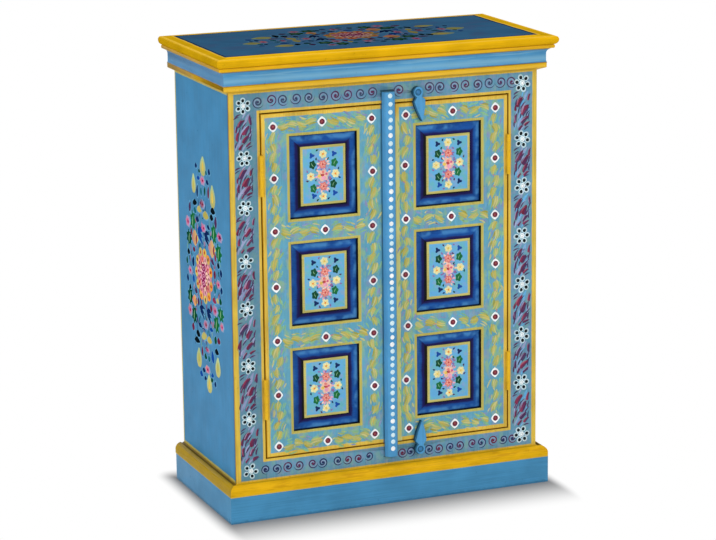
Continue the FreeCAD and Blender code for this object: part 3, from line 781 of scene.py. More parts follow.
@dataclass(frozen=True)
class ButtonPaint(BrushedPaint):
    """Turn button with a light face, painted shade on its edges and its left outline, and a dark
    ring round its pivot.

    The tail is 1 where it points up and -1 where it points down, and leans to the right.
    """

    face: float = 0.0
    pivot: Point = (61.0, 0.0)
    tail: int = 1
    lean: float = 3.0
    head: float = 10.5
    rim: float = 2.5

    def left_rim(self, bench: Bench, out_x: Wire, out_z: Wire) -> Wire:
        """Painted shade along the outline's left edge: round head, neck, shoulder, belly and tip.

        Args:
            bench: The bench of the material.
            out_x: Millimetres to the right of the pivot.
            out_z: Millimetres above the pivot.

        Returns:
            1 along the edge, and 0 inside it.
        """
        s, c = math.sin(math.radians(self.lean)), math.cos(math.radians(self.lean))
        along, across = out_z * (self.tail * c) + out_x * s, out_x * c - out_z * (self.tail * s)
        head = (self.head ** 2 - along * along).most(0.0) ** 0.5
        tail = (along * 0.855 - 1.8).least(15.6 - along * 0.2).least(20.2 - along * 0.333)
        return bench.upto(across + head.most(tail) + bench.wander(9.0, 0.5, 2.0), self.rim, 0.7)

    def coloured(self, bench: Bench) -> Wire:
        """Blue face, painted shade on the edges and the left outline, and a dark ring."""
        x, y, z = bench.axes()
        # The sides are painted dark as painted shade.
        edge = bench.rise(y + bench.wander(6.0, 0.25, 5.0), self.face + 0.6, self.face + 1.3)
        out_x, out_z = x - self.pivot[0], z - self.pivot[1]
        reach = (out_x * out_x + out_z * out_z) ** 0.5
        ring = bench.band(reach + bench.wander(5.0, 0.4, 3.0), 3.6, 6.4, 0.6)
        dark = edge.most(ring * 0.75).most(self.left_rim(bench, out_x, out_z) * 0.8)
        return bench.mix(dark * 0.92, self.coat(bench), Pot.DEEP_TEAL)


@dataclass(frozen=True)
class StainedWood:
    """Plain board with growth rings drawn out along its length."""

    name: str
    along: Along

    def build(self) -> Finish:
        """The finished material."""
        bench = Bench(self.name)
        rings = bench.noise(tuple(6.0 if s < 10 else 180.0 for s in self.along.value), 3.0)
        fibres = bench.noise(tuple(0.8 if s < 10 else 45.0 for s in self.along.value), 2.0, 3.0)
        share = bench.rise(rings * 0.7 + fibres * 0.3, 0.32, 0.66)
        colour = bench.mix(share, Pot.WALNUT, Pot.PINE)
        return bench.show(bench.surface(
            colour, fibres * 0.2 + 0.5, fibres, 0.12, {"Specular IOR Level": 0.3}))


@dataclass(frozen=True)
class ThickPaint:
    """Brush strokes that carry their own colours in the paint attribute."""

    name: str
    sheen: float = 0.42
    specular: float = 0.12
    tone: float = 1.0

    def build(self) -> Finish:
        """The finished material."""
        bench = Bench(self.name)
        paint = bench.node("ShaderNodeAttribute", {"attribute_name": "paint"}, {}, "Color")
        streaks = bench.noise(2.2, 3.0)
        colour = bench.scaled(paint, streaks * (0.4 * self.tone) + 0.8 * self.tone)
        return bench.show(bench.surface(colour, streaks * 0.2 + (self.sheen - 0.1), streaks, 0.15, {
            "Specular IOR Level": self.specular}))


@dataclass(frozen=True)
class Steel:
    """Plain steel with fine turning marks."""

    name: str

    def build(self) -> Finish:
        """The finished material."""
        bench = Bench(self.name)
        marks = bench.noise(0.4, 2.0)
        colour = bench.mix(marks, toned(Pot.STEEL, 0.7), Pot.STEEL)
        return bench.show(bench.surface(
            colour, marks * 0.25 + 0.25, marks, 0.02, {"Metallic": 1.0}))


# Strokes of thick paint

def shifted(at: Point, across: float, up: float) -> Point:
    """The point moved across and up."""
    return at[0] + across, at[1] + up


def swung(at: Point, reach: float, degrees: float) -> Point:
    """The point that lies a reach away in a direction."""
    turn = math.radians(degrees)
    return at[0] + reach * math.cos(turn), at[1] + reach * math.sin(turn)


def there_and_back(turned: float) -> Point:
    """How far along a stroke its outline has come, and on which side, 1 going and -1 back."""
    return (2 * turned, 1) if turned <= 0.5 else (2 - 2 * turned, -1)


@dataclass(frozen=True)
class Face:
    """A face of the cabinet with its own directions, in millimetres."""

    corner: Vector
    across: Vector
    up: Vector
    outward: Vector

    @classmethod
    def fore(cls, x: float, y: float) -> "Face":
        """An upright face that looks forwards, with u from x and v from the floor."""
        return cls(Vector((x, y, 0)), Vector((1, 0, 0)), Vector((0, 0, 1)), Vector((0, -1, 0)))

    def place(self, u: float, v: float, lift: float) -> Vector:
        """The point at (u, v) on the face, lifted off it."""
        return (self.corner + self.across * u + self.up * v + self.outward * lift) * MM


@dataclass(frozen=True)
class Crest(Face):
    """The round front of the centre strip, on which u is measured from its middle."""

    half_width: float = 13.0
    crown: float = 9.5

    def place(self, u: float, v: float, lift: float) -> Vector:
        """The point at (u, v) on the round, lifted off it."""
        share = min(0.98, abs(u) / self.half_width)
        fall = self.crown * (1 - math.sqrt(1 - share * share))
        return super().place(u, v, lift - fall)


class Brush:
    """Strokes on one face, each a thin closed slab with its own colours.

    A slab's foot is sunk into the face, and each slab lies a little higher than the last one.
    """

    sunk = 0.02
    step = 0.006
    curl_core = 0.2

    def __init__(self, face: Face, seed: int, layer: float = 0.05) -> None:
        """Args:
            face: The face that is painted.
            seed: Where the hand's unsteadiness starts.
            layer: Millimetres of paint in a layer.
        """
        self.face = face
        self.layer = layer
        self.mesh = bmesh.new()
        self.paint = self.mesh.loops.layers.float_color.new("paint")
        self.hand = random.Random(seed)
        self.strokes = 0

    def shake(self, size: float) -> float:
        """A small random shift of up to size either way."""
        return self.hand.uniform(-size, size)

    def vary(self, colour: Colour, amount: float = 0.12) -> Colour:
        """The colour as it comes off the brush this time."""
        return toned(colour, 1 + self.shake(amount))

    def pick(self, *pots: Pot) -> Colour:
        """The colour of one of the pots, taken at random."""
        return self.hand.choice(pots)

    def _tint(self, verts: Iterable[bmesh.types.BMVert],
              colours: dict[bmesh.types.BMVert, Colour]) -> None:
        """Colours the corners of every face that the vertices bound."""
        for face in {face for vert in verts for face in vert.link_faces}:
            for loop in face.loops:
                loop[self.paint] = (*colours[loop.vert], 1.0)

    def _lay(self, segments: int, shape: Callable[[float, float], Point],
             tint: Callable[[float], Colour], level: int) -> None:
        """Adds one slab.

        Args:
            segments: Corners of its outline.
            shape: Gives the point for the turn round the outline, 0 to 1, and the reach, which
                is 1 at the foot.
            tint: Gives the colour for the turn round the outline.
            level: How many layers of paint lie under it.
        """
        made = bmesh.ops.create_cone(self.mesh, cap_ends=True, segments=segments, radius1=1.0,
                                     radius2=0.9, depth=1.0)["verts"]
        self.strokes += 1
        top = (level + 1 + self.strokes * self.step) * self.layer
        colours = {}
        for vert in made:
            turn = (math.atan2(vert.co.y, vert.co.x) / math.tau) % 1.0
            u, v = shape(turn, math.hypot(vert.co.x, vert.co.y))
            colours[vert] = tint(turn)
            vert.co = self.face.place(u, v, top if vert.co.z > 0 else -self.sunk)
        self._tint(made, colours)

    def dab(self, at: Point, size: float | Point, colour: Colour, *, turn: float = 0.0,
            lobes: int = 0, ripple: float = 0.18, square: float = 2.0, level: int = 0,
            edge: Colour | None = None, segments: int = 14) -> None:
        """A round, oval, lobed or diamond dab.

        Args:
            at: Its middle.
            size: Its radius, or its radii across and up.
            colour: Its colour.
            turn: Degrees that it is turned.
            lobes: Number of lobes round it.
            ripple: Depth of the lobes as a share of the radius.
            square: 2 for round, down to 1 for a diamond.
            level: Layers under it.
            edge: Colour that its outline shades towards on one side.
            segments: Corners of its outline.
        """
        wide, tall = (size, size) if isinstance(size, (int, float)) else size
        lean, phase = math.radians(turn + self.shake(4)), self.shake(0.3)
        middle = shifted(at, self.shake(0.25), self.shake(0.25))
        count = segments if not lobes else max(segments, lobes * 5)
        main, rim = self.vary(colour), self.vary(edge or colour)

        def shape(turned: float, reach: float) -> Point:
            """The point of the dab's outline."""
            angle = turned * math.tau
            c, s = math.cos(angle), math.sin(angle)
            out = reach / (abs(c) ** square + abs(s) ** square) ** (1 / square)
            out *= 1 + (ripple * math.cos(lobes * angle + phase) if lobes else 0)
            a, b = c * out * wide, s * out * tall
            return (middle[0] + a * math.cos(lean) - b * math.sin(lean),
                    middle[1] + a * math.sin(lean) + b * math.cos(lean))

        def tint(turned: float) -> Colour:
            """The colour there, from one side to the other."""
            return mixed(main, rim, 0.5 + 0.5 * math.cos(turned * math.tau))

        self._lay(count, shape, tint, level)

    def bead(self, at: Point, radius: float, height: float, colour: Colour) -> None:
        """A raised round drop of paint.

        Args:
            at: Its middle.
            radius: Its radius.
            height: How far it stands off the face.
            colour: Its colour.
        """
        made = bmesh.ops.create_uvsphere(self.mesh, u_segments=14, v_segments=8,
                                         radius=1.0)["verts"]
        self.strokes += 1
        main = self.vary(colour, 0.05)
        # The crown is painted a little lighter than the foot, a painted highlight.
        colours = {vert: toned(main, 0.93 + 0.07 * vert.co.z) for vert in made}
        for vert in made:
            x, y, z = vert.co
            vert.co = self.face.place(at[0] + x * radius, at[1] + y * radius,
                                      z * height if z > 0 else z * 0.3)
        self._tint(made, colours)

    def leaf(self, at: Point, length: float, width: float, angle: float, colour: Colour, *,
             tip: Colour | None = None, bend: float = 0.12, fat: float = 0.75, level: int = 0,
             segments: int = 14) -> None:
        """A tapered stroke, widest towards its start.

        Args:
            at: Its middle.
            length: From end to end.
            width: At its widest.
            angle: Degrees from across to its length.
            colour: Colour at its start.
            tip: Colour at its end.
            bend: Sideways bow as a share of its length.
            fat: Under 1 the widest place lies nearer the start, over 1 nearer the end.
            level: Layers under it.
            segments: Corners of its outline, an even number.
        """
        length *= 1 + self.shake(0.08)
        way = math.radians(angle + self.shake(5))
        ahead, aside = (math.cos(way), math.sin(way)), (-math.sin(way), math.cos(way))
        start, end = self.vary(colour), self.vary(tip or colour)
        middle = shifted(at, self.shake(0.3), self.shake(0.3))

        def shape(turned: float, reach: float) -> Point:
            """The point of the leaf's outline."""
            t, side = there_and_back(turned)
            along = (t - 0.5) * length
            half = width / 2 * math.sin(math.pi * min(1.0, t) ** fat) * side * reach
            half += bend * length * (0.6 - (2 * t - 1) ** 2)
            return (middle[0] + ahead[0] * along + aside[0] * half,
                    middle[1] + ahead[1] * along + aside[1] * half)

        def tint(turned: float) -> Colour:
            """The colour there, from start to end."""
            return mixed(start, end, there_and_back(turned)[0])

        self._lay(segments, shape, tint, level)

    def curl(self, at: Point, radius: float, width: float, colour: Colour, *, turns: float = 1.3,
             start: float = 0.0, hand: int = 1, level: int = 0, inside: Colour | None = None,
             segments: int = 56) -> None:
        """A spiral stroke that thins towards its outer end.

        Args:
            at: Its middle.
            radius: Of its outer end.
            width: Of the stroke.
            colour: Its colour.
            turns: How often it goes round.
            start: Degrees at which the outer end stands.
            hand: 1 to run counter-clockwise inwards, or -1.
            level: Layers under it.
            inside: Colour that it shades towards at its inner end.
            segments: Corners of its outline, an even number.
        """
        main, core = self.vary(colour), self.vary(inside or colour)

        def shape(turned: float, reach: float) -> Point:
            """The point of the curl's outline."""
            t, side = there_and_back(turned)
            angle = start + hand * t * turns * 360
            out = radius * (1 - (1 - self.curl_core) * t)
            half = width / 2 * side * reach * min(1.0, 0.5 + t) * min(1.0, 8 * (1.001 - t)) ** 0.5
            half *= min(1.0, 10 * t + 0.02)
            return swung(at, out + half, angle)

        self._lay(segments, shape, lambda turned: mixed(main, core, there_and_back(turned)[0]),
                  level)

    def finish(self, name: str, body: str, finish: Finish) -> Piece:
        """Makes the strokes a piece that rides on a body."""
        bmesh.ops.recalc_face_normals(self.mesh, faces=self.mesh.faces[:])
        return make_piece(name, self.mesh, body, [finish], smooth=None)


# Pieces

def placed(name: str, data: bpy.types.ID) -> Piece:
    """A new object of the scene."""
    made = bpy.data.objects.new(name, data)
    bpy.context.scene.collection.objects.link(made)
    return made


def held(name: str, mesh: Shape) -> bpy.types.Mesh:
    """Blender's own mesh of a bmesh, which is freed."""
    data = bpy.data.meshes.new(name)
    mesh.to_mesh(data)
    mesh.free()
    return data


def add_to(whole: Shape, part: Shape) -> None:
    """Adds a bmesh to another, and frees it."""
    data = held("part", part)
    whole.from_mesh(data)
    bpy.data.meshes.remove(data)


def make_piece(name: str, mesh: Shape, body: str, finishes: Sequence[Finish],
               smooth: float | None = 30.0) -> Piece:
    """Turns a bmesh into a piece that rides on a body.

    Args:
        name: The piece's name.
        mesh: Its shape in the cabinet's own place, which is freed.
        body: The body that it rides on.
        finishes: Its materials.
        smooth: Degrees under which edges shade smoothly, or None for flat faces.

    Returns:
        The piece.
    """
    data = held(name, mesh)
    if smooth is not None:
        data.shade_smooth()
        data.set_sharp_from_angle(angle=math.radians(smooth))
    piece = placed(name, data)
    for finish in finishes:
        data.materials.append(finish)
    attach(piece, body)
    LOG.info("%s: %d faces", name, len(data.polygons))
    return piece


def joined_copy(nodes: Iterable[str]) -> Shape:
    """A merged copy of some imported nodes, without the faces where they meet.

    Args:
        nodes: The nodes' names.

    Returns:
        The copy, with its flat faces whole.
    """
    same, meeting, flat = 0.002 * MM, 0.01 * MM, math.radians(0.4)
    whole = bmesh.new()
    for node in nodes:
        one = bmesh.new()
        one.from_mesh(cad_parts[node].data)
        bmesh.ops.remove_doubles(one, verts=one.verts, dist=same)
        bmesh.ops.dissolve_limit(one, angle_limit=flat, verts=one.verts, edges=one.edges)
        add_to(whole, one)
    bmesh.ops.remove_doubles(whole, verts=whole.verts, dist=meeting)
    whole.verts.index_update()
    seen: dict[frozenset, bmesh.types.BMFace] = {}
    twins = []
    for face in whole.faces:
        key = frozenset(v.index for v in face.verts)
        if key in seen:
            twins += [face, seen[key]]
        seen[key] = face
    bmesh.ops.delete(whole, geom=twins, context="FACES_ONLY")
    loose = [edge for edge in whole.edges if not edge.link_faces]
    bmesh.ops.delete(whole, geom=loose, context="EDGES")
    return whole


def soften(mesh: Shape, width: float, chosen: Callable[[Vector, Vector], bool]) -> None:
    """Rounds some of a mesh's sharp outer edges.

    Args:
        mesh: The mesh.
        width: Millimetres of the rounding.
        chosen: Whether to round the edge between two points in millimetres.
    """
    edges = [edge for edge in mesh.edges
             if len(edge.link_faces) == 2 and edge.is_convex
             and edge.calc_face_angle() > math.radians(35)
             and chosen(edge.verts[0].co / MM, edge.verts[1].co / MM)]
    bmesh.ops.bevel(mesh, geom=edges, offset=width * MM, affect="EDGES", segments=3, profile=0.5,
                    material=-1, clamp_overlap=True)


def standing_for(name: str, nodes: Sequence[str], mesh: Shape, body: str,
                 finishes: Sequence[Finish]) -> Piece:
    """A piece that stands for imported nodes."""
    piece = make_piece(name, mesh, body, finishes)
    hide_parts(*nodes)
    return piece


def softened(name: str, nodes: Sequence[str], body: str, finish: Finish,
             width: float, chosen: Callable[[Vector, Vector], bool]) -> Piece:
    """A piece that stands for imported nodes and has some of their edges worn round."""
    mesh = joined_copy(nodes)
    soften(mesh, width, chosen)
    return standing_for(name, nodes, mesh, body, [finish])


def near(value: float, *targets: float) -> bool:
    """Whether a value lies within a twentieth of a millimetre of a target."""
    return any(abs(value - target) < 0.05 for target in targets)


def both(first: float, second: float, target: float) -> bool:
    """Whether both ends of an edge lie at a target."""
    return near(first, target) and near(second, target)


def upright(a: Vector, b: Vector, depth: float) -> bool:
    """Whether an edge runs up a face that lies at a depth."""
    return both(a.y, b.y, depth) and near(a.x, b.x) and abs(a.z - b.z) > 1


def dress_node(node: str, finish: Finish) -> None:
    """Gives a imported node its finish."""
    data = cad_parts[node].data
    data.materials.clear()
    data.materials.append(finish)
    for polygon in data.polygons:
        polygon.material_index = 0
    LOG.info("%s: %s", node, finish.name)


@dataclass
class Case:
    """The boards and mouldings of the case."""

    plan: Plan
    edge: float = 0.9
    plinth_edge: float = 4.0
    moulding_edge: float = 1.4
    cornice_edge: float = 0.8

    def dress(self) -> None:
        """Builds the case's own pieces and gives every board its finish."""
        self._mouldings()
        self._boards()
        self._inside()

    def _mouldings(self) -> None:
        """Plinth, its moulding, the cornice and the top."""
        plan = self.plan
        sides = ("front", "left", "right")
        softened("plinth", [f"plinth_{s}" for s in sides], "cabinet",
                 BrushedPaint("plinth_paint", Pot.BODY_BLUE).build(),
                 self.plinth_edge, lambda a, b: near(a.x, b.x) and near(a.y, b.y) and a.z != b.z)
        softened("plinth_cap", [f"plinth_moulding_{s}" for s in sides], "cabinet",
                 MouldingPaint("moulding_paint", Pot.YELLOW, specular=0.05, plan=plan).build(),
                 self.moulding_edge, self._mitred)
        softened("cornice", [f"cornice_{s}" for s in sides], "cabinet",
                 CornicePaint("cornice_paint", Pot.COVE_BLUE, plan=plan).build(),
                 self.cornice_edge, self._mitred)
        top = joined_copy(["top_board"])
        level = [vert for vert in top.verts if vert.co.z / MM > plan.top - 0.05]
        bmesh.ops.translate(top, verts=level, vec=(0, 0, -TOP_SINK * MM))
        standing_for("top", ["top_board"], top, "cabinet",
                     [TopPaint("top_paint", Pot.TOP_BLUE, specular=0.0, sheen=0.5).build()])

    def _mitred(self, a: Vector, b: Vector) -> bool:
        """Whether the edge lies in a front corner's mitre."""
        return all(near(abs(p.x) - self.plan.half_case, self.plan.front - p.y) for p in (a, b))

    def _boards(self) -> None:
        """Sides and face frame."""
        plan = self.plan
        side_paint = SidePaint("side_paint", Pot.SIDE_BLUE, Along.UPRIGHT, specular=0.05,
                               plan=plan).build()
        frame_paint = FramePaint("frame_paint", Pot.FRAME_BLUE, Along.UPRIGHT, plan=plan).build()

        for name, side in (("left", -1), ("right", 1)):
            outer = side * plan.half_case
            softened(f"{name}_board", [f"{name}_side"], "cabinet", side_paint,
                     self.edge, lambda a, b: both(a.x, b.x, outer) and both(a.y, b.y, plan.back))
            standing = joined_copy([f"{name}_frame_stile"])
            soften(standing, self.edge, lambda a, b: upright(a, b, plan.front))
            standing_for(f"{name}_stile", [f"{name}_frame_stile"], standing, "cabinet",
                         self._two_sided(standing, frame_paint, side_paint))
        for rail in ("header_rail", "bottom_rail"):
            softened(f"{rail}_front", [rail], "cabinet", frame_paint, self.edge,
                     lambda a, b: both(a.y, b.y, plan.front) and abs(a.x - b.x) > 100
                     and near(a.z, plan.opening_low, plan.opening_high))

    def _two_sided(self, mesh: Shape, front: Finish, side: Finish) -> list[Finish]:
        """Marks the faces that look sideways for the side's paint.

        Args:
            mesh: The stile.
            front: The paint of its front.
            side: The paint of its side.

        Returns:
            Both paints, in the order of the marks.
        """
        mesh.normal_update()
        for face in mesh.faces:
            outer = abs(face.calc_center_median().x) / MM > self.plan.half_case - 0.5
            face.material_index = int(outer and abs(face.normal.x) > 0.7)
        return [front, side]

    def _inside(self) -> None:
        """Boards that show only when the doors are open, or from behind."""
        for name, along, nodes in (
                ("shelf_wood", Along.ACROSS,
                 ("bottom_board", "shelf", "rear_top_rail", "rear_plinth_rail")),
                ("back_wood", Along.UPRIGHT, ("back_panel", "corner_blocks")),
                ("cleat_wood", Along.DEEP, ("left_shelf_cleat", "right_shelf_cleat"))):
            wood = StainedWood(name, along).build()
            for node in nodes:
                dress_node(node, wood)


@dataclass
class Door:
    """One door with its frame, panels and painting."""

    plan: Plan
    name: str
    side: int
    seed: int
    hinge_marks: tuple[Point, ...]
    meeting_marks: tuple[Point, ...]
    rail_marks: tuple[Point, ...]
    edge: float = 0.8
    field_depth: float = 2.5
    field_edge: float = 0.5
    mark_clear: float = 12.5
    leaf_pitch: float = 20.0

    def dress(self, strokes: Finish) -> None:
        """Builds the door's frame and panels, and paints them."""
        plan, body = self.plan, f"{self.name}_door"
        face = plan.door_face
        strip = self.side * plan.strip_edges[1 if self.side > 0 else 0]
        paint = DoorPaint(f"{body}_paint", Pot.DOOR_BLUE, Along.UPRIGHT, plan=plan,
                          strip_edge=strip, side=self.side).build()

        for part in ("hinge_stile", "meeting_stile"):
            self._front(part, paint, self.edge, lambda a, b: upright(a, b, face))
        for number in (1, 2, 3, 4):
            self._front(f"rail_{number}", paint, self.edge, lambda a, b: both(a.y, b.y, face)
                        and near(a.z, b.z) and abs(a.x - b.x) > 50)
        panel = PanelPaint(f"{body}_panel_paint", Pot.BEVEL_ULTRA, plan=plan,
                           side=self.side).build()
        for number in (1, 2, 3):
            self._front(f"panel_{number}", panel, self.field_edge,
                        lambda a, b: both(a.y, b.y, face + self.field_depth), "panel_navy")
        self._paint_frame(body, strokes)
        self._paint_panels(body, strokes)

    def _front(self, part: str, paint: Finish, width: float,
               chosen: Callable[[Vector, Vector], bool], slot: str = "door_teal") -> None:
        """Builds one part of the door with some of its edges worn round."""
        node = f"{self.name}_door_{part}"
        softened(f"{node}_front", [node], f"{self.name}_door", paint, width, chosen)

    def _paint_frame(self, body: str, strokes: Finish) -> None:
        """Diamonds, and leaves between them."""
        brush = Brush(Face.fore(0, self.plan.door_face), self.seed)
        for run in (self.hinge_marks, self.meeting_marks):
            for upper, lower in zip(run, run[1:]):
                self._leaf_run(brush, upper, lower)
        for row, mark in enumerate(self.rail_marks):
            for run in (self.hinge_marks, self.meeting_marks):
                self._leaf_run(brush, run[2 * row], mark)
        for mark in (*self.hinge_marks, *self.meeting_marks, *self.rail_marks):
            diamond(brush, mark)
        brush.finish(f"{body}_leaves", body, strokes)

    def _leaf_run(self, brush: Brush, first: Point, last: Point) -> None:
        """A rope of yellow leaves with lime strokes beside it.

        Args:
            brush: The brush on the door's face.
            first: The diamond that it starts from.
            last: The next diamond.
        """
        du, dv = last[0] - first[0], last[1] - first[1]
        length = math.hypot(du, dv)
        ahead = math.degrees(math.atan2(dv, du))
        aside = (-dv / length, du / length)
        usable = length - 2 * self.mark_clear
        count = max(3, round(usable / self.leaf_pitch))

        def spot(along: float, off: float) -> Point:
            """The point so far along the rope, and off it."""
            share = along / length
            return shifted(first, du * share + aside[0] * off, dv * share + aside[1] * off)

        for n in range(count):
            along = self.mark_clear + usable * (n + 0.5) / count
            side = 1 if n % 2 else -1
            lean = ahead + brush.shake(8) + (-20 if brush.hand.random() < 0.75 else 14)
            for reach in (8.0, -8.5, 11.0, -11.5, 13.5):
                if brush.hand.random() < 0.8:
                    brush.leaf(spot(along + brush.shake(8), side * reach + brush.shake(1.5)),
                               15 + brush.shake(4), 2.9 + brush.shake(0.8), lean + brush.shake(8),
                               brush.pick(Pot.LEAF_LIME, Pot.LEAF_SAGE, Pot.LEAF_SAGE,
                                          Pot.LEAF_STRAW, Pot.FRAME_LILAC), bend=0.07 * side)
            plume(brush, spot(along, side * (1.6 + brush.shake(1.5))), 26 + brush.shake(4),
                  13.5 + brush.shake(2), lean, side, Plume.YELLOW)
            if brush.hand.random() < 0.3:
                brush.leaf(spot(along + 10, brush.shake(3)), 7, 2.4, lean + 50 + brush.shake(30),
                           brush.pick(Pot.DUSTY_ROSE, Pot.LEAF_STRAW), level=3, segments=8)

    def _paint_panels(self, body: str, strokes: Finish) -> None:
        """A bouquet on each raised field."""
        field = Face.fore(0, self.plan.door_face + self.field_depth)
        brush = Brush(field, self.seed + 50)
        low, high = self.plan.sight_across
        for bottom, top in self.plan.sights:
            bouquet(brush, (self.side * (low + high) / 2, (bottom + top) / 2))
        brush.finish(f"{body}_bouquets", body, strokes)


# Motifs

class Plume(Enum):
    """Pots of a striped leaf: its body, its tip, and the strokes drawn through it."""

    YELLOW = ((Pot.LEAF_KHAKI,), (Pot.LEAF_SAGE, Pot.LEAF_KHAKI),
              (Pot.LEAF_LIME, Pot.LEAF_SAGE), (Pot.LEAF_GOLD, Pot.LEAF_STRAW),
              (Pot.LEAF_STRAW, Pot.LEAF_GOLD, Pot.LEAF_GOLD), (Pot.LEAF_OLIVE, Pot.LEAF_LIME))
    RED = ((Pot.MAROON, Pot.CRIMSON, Pot.DARK_PLUM), (Pot.MAROON, Pot.DARK_PLUM),
           (Pot.CRIMSON, Pot.MAROON, Pot.ROSE_RED, Pot.LILAC), (Pot.DARK_PLUM, Pot.SCROLL))


def plume(brush: Brush, at: Point, length: float, width: float, angle: float, side: int,
          pots: Plume) -> None:
    """A broad leaf drawn in several wet strokes from different pots.

    Args:
        brush: The brush on its face.
        at: The leaf's middle.
        length: From end to end.
        width: At its widest.
        angle: Degrees from across to its length.
        side: 1 or -1, the side that it bows to.
        pots: The pots of its body, its tip and its strokes.
    """
    body, tip, *through = pots.value
    way = math.radians(angle)
    ahead, aside = (math.cos(way), math.sin(way)), (-math.sin(way), math.cos(way))
    brush.leaf(at, length * 0.9, width * 0.8, angle, brush.pick(*body), tip=brush.pick(*tip),
               bend=0.06 * side, level=1)
    spread = 0.4 if len(through) > 2 else 0.26
    for n, choice in enumerate(through):
        off = (1 - 2 * n / (len(through) - 1)) * spread
        share = 0.98 - 1.6 * off * off
        off, shift = off * width, brush.shake(0.1) * length
        spot = shifted(at, aside[0] * off + ahead[0] * shift, aside[1] * off + ahead[1] * shift)
        brush.leaf(spot, length * share, width * 0.26, angle + brush.shake(9), brush.pick(*choice),
                   tip=brush.pick(*choice), bend=0.09 * side, level=2, segments=10)


def diamond(brush: Brush, at: Point) -> None:
    """A soft white diamond with a dark red middle."""
    brush.dab(at, (9.3, 10.0), Pot.WHITE, square=1.28, level=3, segments=20)
    brush.dab(at, 5.9, Pot.DIAMOND_RED, level=4, edge=Pot.MAROON)
    brush.dab(shifted(at, brush.shake(0.6), 0.4), (2.4, 2.7), Pot.DIAMOND_CORE, level=5,
              segments=8)


def stile_flower(brush: Brush, at: Point, size: float) -> None:
    """White petals with black eyes round a white middle.

    Args:
        brush: The brush on the face frame.
        at: The flower's middle.
        size: 1 for petals that stand about 11 mm out.
    """
    petals = brush.hand.choice((6, 6, 6, 5))
    first = brush.hand.uniform(0, 360)
    for n in range(petals):
        turn = first + 360 * n / petals + brush.shake(4)
        out = 10.9 * size
        brush.dab(swung(at, out, turn), (5.4 * size, 5.0 * size), Pot.ICE,
                  turn=turn, level=1, edge=Pot.GREY_WHITE)
        brush.dab(swung(at, out - 0.7, turn), (3.7 * size, 3.3 * size), Pot.BLACK,
                  turn=turn, level=2, segments=12)
    brush.dab(at, 5.2 * size, Pot.ICE, level=2, edge=Pot.WHITE)
    brush.dab(at, 3.4 * size, Pot.GREY_WHITE, level=3, segments=10)
    brush.dab(at, 2.4 * size, Pot.WHITE, level=4, segments=8)


class Vine(Enum):
    """Strokes between two stile flowers: across, share of the way up, length, width, angle."""

    RED = ((-4.5, 0.75, 25, 8.4, 56), (15.0, 0.83, 20, 4.8, 84), (5.0, 0.55, 25, 11.0, 58),
           (-12.5, 0.36, 21, 5.6, 82), (5.5, 0.29, 23, 8.0, 50), (9.0, 0.15, 17, 4.8, 32),
           (-13.5, 0.60, 15, 4.0, 74), (-4.5, 0.10, 15, 4.4, 52))
    DARK = ((-12.0, 0.95, 14, 3.2, 30), (-13.0, 0.87, 13, 2.6, 24), (-8.0, 0.56, 17, 2.8, 66),
            (10.0, 0.06, 14, 3.0, 24), (14.0, 0.60, 18, 3.0, 78), (-3.0, 0.42, 18, 3.2, 60),
            (14.5, 0.34, 17, 3.2, 82), (-15.5, 0.18, 15, 3.0, 80), (-10.5, 0.72, 20, 3.2, 62),
            (11.5, 0.44, 18, 3.2, 54), (0.5, 0.66, 20, 3.0, 56))
    PALE = ((7.5, 0.88, 22, 5.4, 66), (2.0, 0.72, 24, 3.6, 60), (-5.5, 0.24, 28, 4.8, 62),
            (-4.0, 0.44, 24, 3.8, 64), (-11.5, 0.50, 20, 3.2, 74), (13.5, 0.47, 20, 3.6, 76),
            (-12.5, 0.12, 18, 3.6, 64), (0.5, 0.97, 16, 3.0, 58), (2.5, 0.06, 16, 3.2, 48))


def stile_vine(brush: Brush, lower: Point, upper: Point, pale: Sequence[Pot],
               clear: float) -> None:
    """Crimson leaves with dark and pale strokes between two flowers.

    Args:
        brush: The brush on the face frame.
        lower: The lower flower's middle.
        upper: The upper flower's middle.
        pale: The pots of the pale strokes.
        clear: Millimetres left free round each flower's middle.
    """
    foot, head = lower[1] + clear, upper[1] - clear
    middle = (lower[0] + upper[0]) / 2

    def lay(strokes: Vine, pots: Sequence[Pot], level: int) -> None:
        """Lays the strokes of one kind."""
        for u, share, length, width, angle in strokes.value:
            at = (middle + u + brush.shake(1.7), foot + (head - foot) * (share + brush.shake(0.03)))
            way = angle + brush.shake(9)
            if strokes is Vine.RED:
                size = 1.05 + brush.shake(0.16)
                plume(brush, at, length * size, width * size * 1.25, way, 1, Plume.RED)
            else:
                brush.leaf(at, length, width, way, brush.pick(*pots), tip=brush.pick(*pots),
                           bend=0.09, level=level)

    lay(Vine.PALE, pale, 0)
    lay(Vine.DARK, (Pot.DARK_PLUM, Pot.SCROLL, Pot.DARK_PLUM), 0)
    lay(Vine.RED, (), 1)


def scroll(brush: Brush, at: Point, radius: float, hand: int, *pots: Pot) -> None:
    """A dark curl on a lilac one, with a wine-red middle.

    Args:
        brush: The brush on the face frame.
        at: The curl's middle.
        radius: Of its outer end.
        hand: 1 to run counter-clockwise inwards, or -1.
        pots: The pots that its colour is taken from.
    """
    start = (215 if hand > 0 else -35) + brush.shake(50)
    radius += brush.shake(0.9)
    dark, wine = brush.pick(*pots), brush.pick(Pot.SCROLL_WINE, *pots)
    brush.curl(at, radius - 2.2, 1.3, Pot.FRAME_LILAC, start=start, hand=hand, turns=1.1,
               inside=Pot.LILAC)
    brush.curl(at, radius, 2.8, dark, start=start, hand=hand, turns=1.5 + brush.shake(0.15),
               level=1, inside=wine)
    brush.dab(at, (2.8, 2.4), wine, level=2, segments=8)


